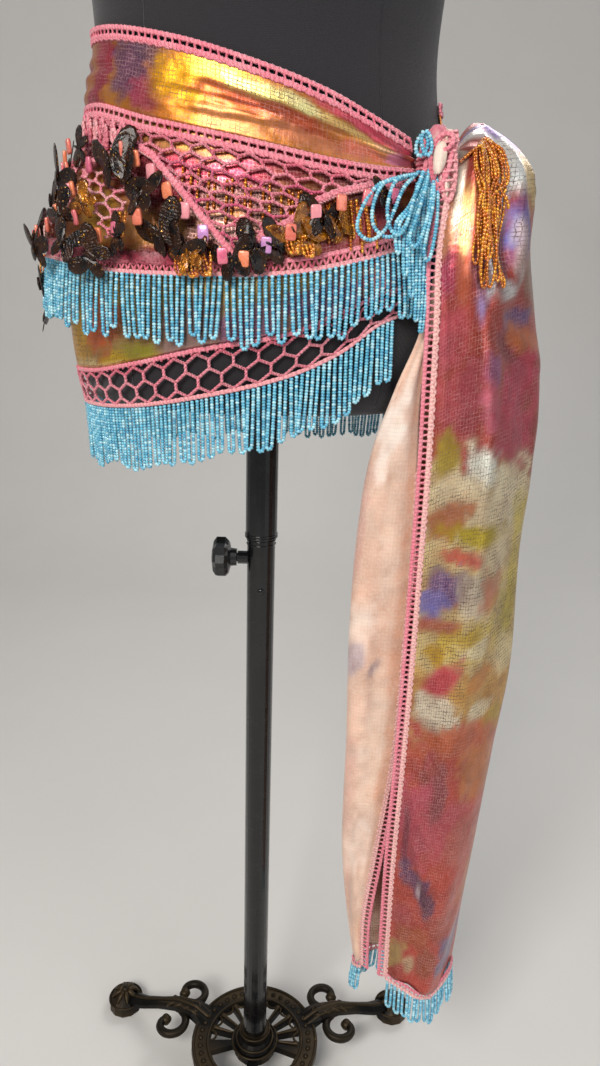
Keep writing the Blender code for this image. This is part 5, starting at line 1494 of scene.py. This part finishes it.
def amberBundle():
    # tangled loops that come over the shoulder of the sash beside the knot: share, height, out
    paths = []
    for k in range(18):
        t = k / 17
        top, middle, low = 0.06 + 0.12 * t, 0.10 + 0.13 * t, 0.150 + 0.050 * t + 0.034 * math.sin(4.1 * k)
        foot = 0.930 - 0.058 * (0.5 + 0.5 * math.sin(2.7 * k))
        out = 0.0030 + 0.0018 * (k % 4)
        stray = 0.022 * math.sin(5.3 * k)
        line = smoothPath((
            (0.02 + 0.14 * t, 0.960 + 0.018 * t, 0.004), (top, 0.974 - 0.003 * math.cos(k), out + 0.001),
            (middle + stray, 0.952, out), (low - stray, 0.930, out + 0.001 * math.cos(3 * k)),
            (low, foot + 0.010, out), (low + 0.008, foot, out), (low + 0.020, foot + 0.008, out),
            (low + 0.022 + stray, 0.928, out + 0.001), (middle + 0.026 - stray, 0.952, out + 0.001),
            (top + 0.020, 0.974, out), (0.04 + 0.14 * t, 0.962 + 0.018 * t, 0.004)))
        paths.append(frontSpot(*line.T))
    return stringPiece("amberStrings", paths, "amber_strings", amberBead, lambda points: (0.3, -1.0, 0.1))


# turn, height of clusters on the edge of the skirt; turn, foot of strings that carry sequins over the fringe
amberClusters = ((-17.5, 0.889), (-14.5, 0.888), (-11.5, 0.889), (8.5, 0.905), (12.0, 0.903), (-35.0, 0.914))
amberDrops = ((-82, 0.872), (-88, 0.848), (-95, 0.860))


def netAmber():
    # bronze strings behind the front fan, with the clusters and drops
    paths = []
    for k in range(34):
        first, step, slip = (-20.0, 2.35 * k, 0.5) if k < 14 else (8.0, 1.2 * (k - 14), 0.4)
        turn = first + step + slip * math.sin(2.9 * k)
        top = seamLevel(turn) - 0.022 - 0.003 * math.sin(1.7 * k)
        height = np.linspace(top, top - 0.026 - 0.005 * math.cos(2.3 * k), 12)
        paths.append(hipPoint(turn, height, skirtOut(turn, height) + 0.0026))
    for turn, foot in amberDrops:
        paths.append(hipPoint(turn, np.linspace(skirtEdge(turn) + 0.002, foot, 12), 0.0105 + flareAt(turn)))
    for turn, height in amberClusters:
        for k in range(3):
            turns, heights, outs = smoothPath((
                (turn - 1, height + 0.003, 0.012), (turn - 1.2 + k, height - 0.008, 0.014),
                (turn + k * 0.6, height - 0.014, 0.014), (turn + 1.4, height - 0.007, 0.014),
                (turn + 1, height + 0.003, 0.012))).T
            paths.append(hipPoint(turns, heights, outs + 0.4 * flareAt(turn)))
    return stringPiece("netAmber", paths, None, amberBead)


amberStrings = amberBundle()
netStrings = netAmber()
print("knot tied")


# flat pieces sewn on: square shell beads and dark winged sequins
def addPlates(heap, centres, rights, ups, outline, levels, dye):
    # a flat outline swept through levels of share and depth, set at many places
    share, depth = np.array(levels).T
    flats = share[:, None, None] * outline
    # axes: copy, level, corner, and the three of space
    centres, rights, ups = (np.atleast_2d(v)[:, None, None] for v in (centres, rights, ups))
    normals = unit(np.cross(rights, ups))
    rings = centres + flats[..., :1] * rights + flats[..., 1:] * ups + depth[:, None, None] * normals
    addRings(heap, rings, np.tile(flats.reshape(-1, 2), (len(rings), 1)), dye, flip=True)


def roundedSquare(wide, tall, steps=20):
    angle = math.tau * np.arange(steps) / steps
    return np.stack([size * np.sign(wave) * np.abs(wave) ** 0.35
                     for size, wave in ((wide, np.cos(angle)), (tall, np.sin(angle)))], 1)


plateSeed = np.random.default_rng(5)
shellLook = {
    "half": (0.0038, 0.0054), "below": 0.0062, "out": 0.0062,
    # share of its outline, depth
    "levels": (
        (0.80, -0.0014), (0.95, -0.0011), (1.0, -0.0004), (1.0, 0.0004), (0.95, 0.0011), (0.80, 0.0014)),
    "front": (-38, -32.5, -27, -22, -17, -12, -7.2, -2.5, 2.5, 8, 14, 20.5, 27.5, 35),
    "side": (-130, -122, -114, -106, -99, -92, -85, -78, -72, -66.5, -61.5, -56, -51),
    # turn, height of beads that hang free of the borders
    "loose": (
        (-76.7, 0.961), (-72.2, 0.968), (-60.1, 0.943), (-57.5, 0.933), (-51.7, 0.914), (-44.7, 0.898),
        (-41.2, 0.901), (-36.0, 0.905), (-29.5, 0.913), (-84.0, 0.955), (-95.0, 0.950), (-66.0, 0.950)),
    "tints": ("e06c74", "ea7c60", "dc6484", "ee8458", "c88cc8", "e4705c", "f098a0"),
}


def shellBeads():
    look, heap = shellLook, newHeap()
    spots = [(turn, straightValue(border, turn) - look["below"])
             for border, side in ((frontFan, "front"), (sideFan, "side")) for turn in look[side]]
    turns, heights = np.array(spots + list(look["loose"])).T
    count = len(turns)
    centres = hipPoint(turns, heights, netOut(turns, heights) + look["out"] + 0.002 * plateSeed.random(count))
    outward = awayFromPole(centres)
    ups = unit(upward + 0.22 * (plateSeed.random((count, 3)) - 0.5) + 0.08 * outward)
    rights = unit(np.cross(ups, outward + 0.5 * (plateSeed.random((count, 3)) - 0.5)))
    shades = np.array([tint(look["tints"][k]) for k in plateSeed.integers(0, len(look["tints"]), count)])
    ups = np.cross(unit(np.cross(rights, ups)), rights)
    addPlates(heap, centres, rights, ups, roundedSquare(*look["half"]), look["levels"], shades)
    return heapPiece("shellBeads", heap, "shell")


wingLook = {
    "wide": 0.0150, "facing": 0.7,  # how far the sequins of the left hip swing round to the front
    "levels": ((0.9, -0.0003), (1.0, 0.0), (0.93, 0.0005), (0.78, 0.0001), (0.5, 0.0007), (0.25, 0.0002)),
    # right wing from the body: out, up
    "outline": np.array((
        (0.02, -0.3), (0.12, -0.52), (0.32, -0.7), (0.52, -0.66), (0.62, -0.46), (0.58, -0.22), (0.46, -0.06),
        (0.66, 0.02), (0.88, 0.2), (1.0, 0.46), (0.96, 0.7), (0.78, 0.8), (0.52, 0.72), (0.28, 0.5),
        (0.08, 0.22), (0.02, 0.05))),
}
# turn, height, lean in degrees, size
darkWings = (
    (-40, 0.951, 12, 1.6), (-64, 0.945, -40, 1.35), (-29, 0.927, 8, 1.25), (-23, 0.903, 25, 1.5),
    (-56, 0.917, 40, 1.2), (-49.5, 0.897, -20, 1.3), (-41, 0.887, 60, 1.3), (0, 0.893, -25, 1.35),
    (16, 0.915, -5, 1.25), (4, 0.896, 70, 1.1), (34, 0.932, -10, 0.95), (-5, 0.886, 15, 1.2),
    (-33, 0.938, -55, 1.15), (-34, 0.901, 80, 1.05), (-17, 0.893, -30, 1.15), (-76, 0.93, 15, 1.15),
    (-72, 0.903, 30, 1.3), (-63, 0.893, -20, 1.2), (-84, 0.944, -20, 1.05), (-96, 0.936, 25, 1.15),
    (-108, 0.95, -35, 1.1), (-122, 0.968, 10, 1.1), (-90, 0.962, 50, 1.0), (-82, 0.868, 10, 1.1),
    (-88, 0.842, -25, 1.1), (-95, 0.855, 40, 1.1), (-88, 0.908, -60, 1.15), (-55, 0.962, 75, 1.0),
)
amberWings = ((20, 0.912, 30, 1.10), (9, 0.904, 35, 1.25), (-15, 0.888, 20, 1.05), (-47, 0.924, 60, 0.95),
              (13, 0.901, 70, 1.0))


def wingSequins(name, places, look, dye):
    heap = newHeap()
    for k, (turn, height, lean, size) in enumerate(places):
        out = float(netOut(turn, height)) + 0.0060 + 0.0012 * (k % 3)
        if height < 0.875:  # those over the fringe
            out = 0.0105 + float(flareAt(turn))
        toFront = wingLook["facing"] * ramp(-24.0, -44.0, turn) * ramp(-78.0, -62.0, turn)
        centre = hipPoint(turn, height, out + 0.008 * toFront)
        outward = unit(awayFromPole(centre) + toFront * np.array([0.0, -1.0, 0.0]))
        angle = math.radians(lean)
        right = math.cos(angle) * np.cross(upward, outward) + math.sin(angle) * upward
        up = unit(np.cross(outward, right) + 0.35 * math.sin(2.3 * k) * outward)
        for side in (-1, 1):
            wing = unit(side * right - 0.26 * outward * (1 + 0.5 * math.cos(1.7 * k)))
            outline = wingLook["outline"][::side] * wingLook["wide"] * size
            addPlates(heap, centre, wing, up, outline, wingLook["levels"], dye)
        # its ribbed body, and the bead that sews it down
        addBeads(heap, centre + outward * 0.0012, up, outward, 0.0013, 0.011, dye)
    return heapPiece(name, heap, look)


shellPiece = shellBeads()
sequinPiece = wingSequins("wingSequins", darkWings, "sequin", tint("141216"))
amberWingPiece = wingSequins("amberSequins", amberWings, "amberSequin", tint("b06414"))


# height over the skirt's edge, lift, colour
rollStrands = ((0.0105, 0.0016, "8c1e36"), (0.0128, 0.0012, "741a2c"), (0.0085, 0.0010, "a03048"))


def skirtRoll():
    # frayed dark red edge of the skirt over its crocheted header
    place, length = hipPlace(-100.0, 4.0, 0.88, skirtEdge, lambda turn, height: 0.0050 + flareAt(turn))
    heap = newHeap()
    s = np.linspace(0, length, 160)
    for height, lift, colour in rollStrands:
        path = np.stack([s, height + 0.0007 * np.sin(s * 700 + height * 900)], 1)
        addYarn(heap, place, path, lift, "thick", tint(colour))
    return heapPiece("skirtRoll", heap, "crochet")


def apexLoops():
    # bunched crochet where the side fan starts, and loops at the far end of the header
    heap = newHeap()

    def addLoop(centre, lean, up, wide, tall, yarn, colour):
        right = np.cross(upward, awayFromPole(centre)) + lean * upward
        addYarn(heap, localPlace(centre, right, up), ovalPath(wide, tall), 0.0, yarn, colour)

    for k in range(16):
        turn = -66.0 + 1.7 * k
        height = seamLevel(turn) - 0.011 - 0.007 * (k % 3) / 2
        centre = hipPoint(turn, height, netOut(turn, height) + 0.0016 + 0.0012 * (k % 2))
        addLoop(centre, 0.4 * math.sin(2.2 * k), upward, 0.0034 + 0.001 * math.sin(k),
                0.0052 + 0.0012 * math.cos(1.7 * k), "border", (rose, rosePale, roseDeep)[k % 3])
    for k in range(9):
        turn = -92.0 + 2.1 * k
        height = skirtEdge(turn) + 0.0170 + 0.003 * math.sin(2 * k)
        centre = hipPoint(turn, height, 0.0075 + flareAt(turn))
        addLoop(centre, 0.0, (0, 0.1 * math.sin(k), 1.0), 0.0028, 0.0078, "net", (creamYarn, rosePale)[k % 2])
    return heapPiece("crochetLoops", heap, "crochet")


rollPiece = skirtRoll()
loopPiece = apexLoops()
print("trims sewn on")


# stand: better finishes on the fixed parts, and the casting's ornament
fixedFinish = {"base_casting": "iron", "lower_tube": "tube", "inner_rod": "tube", "form_sleeve": "tube",
               "clamp_knob": "plastic", "neck_cap": "plastic"}
for nodeName, look in fixedFinish.items():
    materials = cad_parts[nodeName].data.materials
    materials.clear()
    materials.append(finish[look])

baseLook = {
    "top": 0.0420, "foot": 0.1850, "legTurns": (25.0, 155.0, 270.0), "spokes": 9, "colour": tint("2a251f"),
    "rims": ((0.0705, 0.0018), (0.0540, 0.0016), (0.0255, 0.0014)),  # radius, half thickness
    # radius, height, half thickness
    "hub": ((0.0168, 0.0585, 0.0012), (0.0205, 0.0462, 0.0014), (0.0236, 0.0405, 0.0012)),
    "ribs": ((0.0, 0.0021), (-0.0046, 0.0013), (0.0046, 0.0013)),  # to the side, half thickness
    # top of a leg: distance from the pole, height
    "leg": ((0.060, 0.0415), (0.080, 0.050), (0.105, 0.048), (0.130, 0.0365), (0.155, 0.024), (0.172, 0.019)),
    "button": ((1.0, -0.5), (0.95, 0.0), (0.65, 0.35), (0.2, 0.5)),
}


def ringPath(radius, height, steps):
    angle = np.linspace(0, math.tau, steps)
    return np.stack([radius * np.cos(angle), radius * np.sin(angle), np.full(steps, height)], 1)


def spin(radius, angle, height):
    return np.stack(np.broadcast_arrays(radius * np.cos(angle), radius * np.sin(angle), height), -1)


def castRod(heap, path, wide, sides=5):
    addTube(heap, path, upward, wide, sides, baseLook["colour"])


def castButton(heap, centres, aside, radius, length, sides, profile):
    addBeads(heap, centres, upward, aside, radius, length, baseLook["colour"], sides, profile)


def castPlate(heap):
    # raised rims with pearls between them, and a scalloped end on each spoke
    top, count = baseLook["top"], baseLook["spokes"]
    for radius, wide in baseLook["rims"]:
        castRod(heap, ringPath(radius, top, 90), wide, 6)
    pearls = spin(0.0622, math.tau * np.arange(40) / 40, top + 0.0004)
    castButton(heap, pearls, (1.0, 0.0, 0.0), 0.0030, 0.0044, 10, baseLook["button"])
    for k in range(count):
        angle, middle = (math.radians(-6.0 + 192.0 * (k + half) / count) for half in (0.0, 0.5))
        spoke = spin(np.linspace(0.027, 0.050, 10), angle, top + 0.0006)
        castRod(heap, spoke, np.linspace(0.0012, 0.0024, 10))
        scallop = spin(0.0520, middle, top - 0.0012) + spin(0.0068, middle + np.linspace(1.7, 4.6, 14), 0.0)
        castRod(heap, scallop, 0.0014)


def castLeg(heap, ahead, aside, above):
    # ribs along the leg, pairs of leaves on its knee, a rosette on its foot
    leg = baseLook["leg"]
    distance = np.linspace(0.062, 0.170, 40)
    for offset, wide in baseLook["ribs"]:
        bulge = offset * (1 + 0.5 * np.cos((distance - 0.07) * 40))
        height = straightValue(leg, distance) - 0.0004 - 0.25 * abs(offset)
        castRod(heap, ahead(distance) + aside(bulge) + above(height), wide)
    r = np.linspace(0, 1, 9)
    for k in range(4):
        out = 0.074 + 0.011 * k + 0.012 * r
        height = straightValue(leg, out) - 0.0012 - 0.0045 * r**2
        for side in (-1, 1):
            leaf = ahead(out) + aside(side * (0.002 + 0.0085 * r - 0.004 * r**3)) + above(height)
            castRod(heap, leaf, 0.0022 * np.sin(math.pi * (0.12 + 0.8 * r)))
    foot, r = ahead(baseLook["foot"]), np.linspace(0.004, 0.0165, 8)
    for k in range(8):
        angle = math.tau * k / 8
        petal = foot + ahead(r * math.cos(angle)) + aside(r * math.sin(angle))
        petal = petal + above(0.0238 - 0.0075 * (r / 0.0165) ** 2)
        castRod(heap, petal, 0.0031 * np.sin(math.pi * (0.1 + 0.8 * r / 0.0165)))
    castButton(heap, foot + upward * 0.0252, ahead(1.0), 0.0048, 0.0060, 14, baseLook["button"])
    castRod(heap, foot + ringPath(0.0196, 0.0125, 48), 0.0012, 6)


def castScrolls(heap, ahead, aside, above):
    # round C-scrolls each side of a leg
    t = np.linspace(0, 1, 40)
    turn, reach = np.radians(265.0 - 300.0 * t), 0.0200 * (1 - 0.62 * t)
    for side in (-1, 1):
        curl = ahead(0.0990 + reach * np.cos(turn) + 0.004 * t) + above(0.0400 - 0.0050 * t)
        curl = curl + aside(side * (0.0245 + 0.95 * reach * np.sin(turn)))
        castRod(heap, curl, 0.0047, 10)
        castButton(heap, curl[-1], ahead(1.0), 0.0066, 0.0110, 14, beadRings)


def legPlaces(turn):
    # places out along a leg from the pole, to its side and upward
    x, y = spin(1.0, math.radians(turn), 0.0)[:2]

    def place(axis):
        return lambda amount: np.multiply.outer(amount, axis)

    return place((x, y, 0.0)), place((-y, x, 0.0)), place(upward)


def baseOrnament():
    heap = newHeap()
    castPlate(heap)
    for shape in (castLeg, castScrolls):
        for turn in baseLook["legTurns"]:
            shape(heap, *legPlaces(turn))
    for radius, height, wide in baseLook["hub"]:
        castRod(heap, ringPath(radius, height, 60), wide, 6)
    heapPiece("baseOrnament", heap, "iron", body="stand")


ringLook = {"wide": 0.0007, "colour": tint("151516"), "lip": (0.6485, 0.6445),
            "sleeve": (0.6515, 0.654, 0.76)}


def addRing(heap, radius, height, steps, centre=0.0):
    addTube(heap, centre + ringPath(radius, height, steps), upward, ringLook["wide"], 8, ringLook["colour"])


def tubeFittings():
    # a rolled lip under the tube's mouth and the screw that holds its liner
    heap = newHeap()
    for height in ringLook["lip"]:
        addRing(heap, 0.0131, height, 60)
    addBeads(heap, (0.001, -0.0130, 0.6005), (0.0, -1.0, 0.0), upward, 0.0034, 0.0030, ringLook["colour"], 16,
             ((1.0, -0.4), (1.0, 0.1), (0.8, 0.4), (0.45, 0.5)))
    heapPiece("tubeFittings", heap, "tube", body="stand")


def sleeveRings():
    heap = newHeap()
    for height in ringLook["sleeve"]:
        addRing(heap, 0.0146, height, 60)
    heapPiece("sleeveRings", heap, "tube")


def capRing():
    # turned finial ring on the neck cap
    low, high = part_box("neck_cap")
    heap = newHeap()
    centre = np.array([(low.x + high.x) / 2, (low.y + high.y) / 2, 0.0]) - pole
    addRing(heap, 0.0100, high.z - 0.0006, 48, centre)
    heapPiece("capRing", heap, "plastic")


baseOrnament()
tubeFittings()
sleeveRings()
capRing()
print("stand finished")

# plain pale floor that curves up behind, and soft light
studioLook = {
    "half": 3.2, "front": -2.2, "bend": 1.6, "radius": 0.9, "height": 3.4, "below": 0.0005,
    "air": (0.93, 0.95, 1.0, 1.0), "airStrength": 0.30, "low": "d6d3ce", "high": "dedbd6",
    # place, aim, size, watts, colour
    "lamps": {
        "keyLight": ((-0.75, -1.75, 1.95), (0.0, 0.0, 0.78), (0.9, 0.9), 46.0, (1.0, 0.965, 0.92)),
        "fillLight": ((1.9, -1.5, 1.3), (0.05, 0.0, 0.6), (1.6, 2.0), 15.0, (0.92, 0.96, 1.0)),
        "backLight": ((0.9, 1.7, 2.2), (0.0, 0.0, 0.8), (1.2, 1.2), 18.0, (1.0, 1.0, 1.0)),
    },
}


def paperFinish():
    made, spot, _ = newFinish("studioPaper")
    mottle = spread(noise(spot, 3.0), 0.0, 1.0)
    paper = mixColour(mottle, studioLook["low"], studioLook["high"])
    return setShader(made, {"Base Color": paper, "Roughness": 0.9})


def studio():
    look = studioLook
    bend, radius, wide = look["bend"], look["radius"], look["half"]
    rows = [(look["front"], 0.0), (bend, 0.0)]
    for angle in np.linspace(0.1, math.pi / 2, 14):
        rows.append((bend + radius * math.sin(angle), radius - radius * math.cos(angle)))
    rows.append((bend + radius, look["height"]))
    shape = bmesh.new()
    lines = [[shape.verts.new((x, y, z)) for x in (-wide, wide)] for y, z in rows]
    for a, b in zip(lines, lines[1:]):
        shape.faces.new((a[0], a[1], b[1], b[0]))
    mesh = bpy.data.meshes.new("studioFloor")
    shape.to_mesh(mesh)
    shape.free()
    mesh.shade_smooth()
    mesh.materials.append(paperFinish())
    floor = bpy.data.objects.new("studioFloor", mesh)
    bpy.context.scene.collection.objects.link(floor)
    floor.location.z = -look["below"]


def hangLights():
    for name, (place, aim, size, watts, colour) in studioLook["lamps"].items():
        data = bpy.data.lights.new(name, "AREA")
        data.shape = "RECTANGLE"
        data.size, data.size_y = size
        data.energy = watts
        data.color = colour
        lamp = bpy.data.objects.new(name, data)
        bpy.context.scene.collection.objects.link(lamp)
        lamp.location = place
        lamp.rotation_mode = "QUATERNION"
        lamp.rotation_quaternion = (Vector(aim) - Vector(place)).to_track_quat("-Z", "Y")
    world = bpy.data.worlds.new("studioAir")
    bpy.context.scene.world = world
    world.use_nodes = True
    background = world.node_tree.nodes["Background"].inputs
    feed(background["Color"], studioLook["air"])
    feed(background["Strength"], studioLook["airStrength"])
    bpy.context.scene.view_settings.view_transform = "Standard"


studio()
hangLights()
print("stage lit")
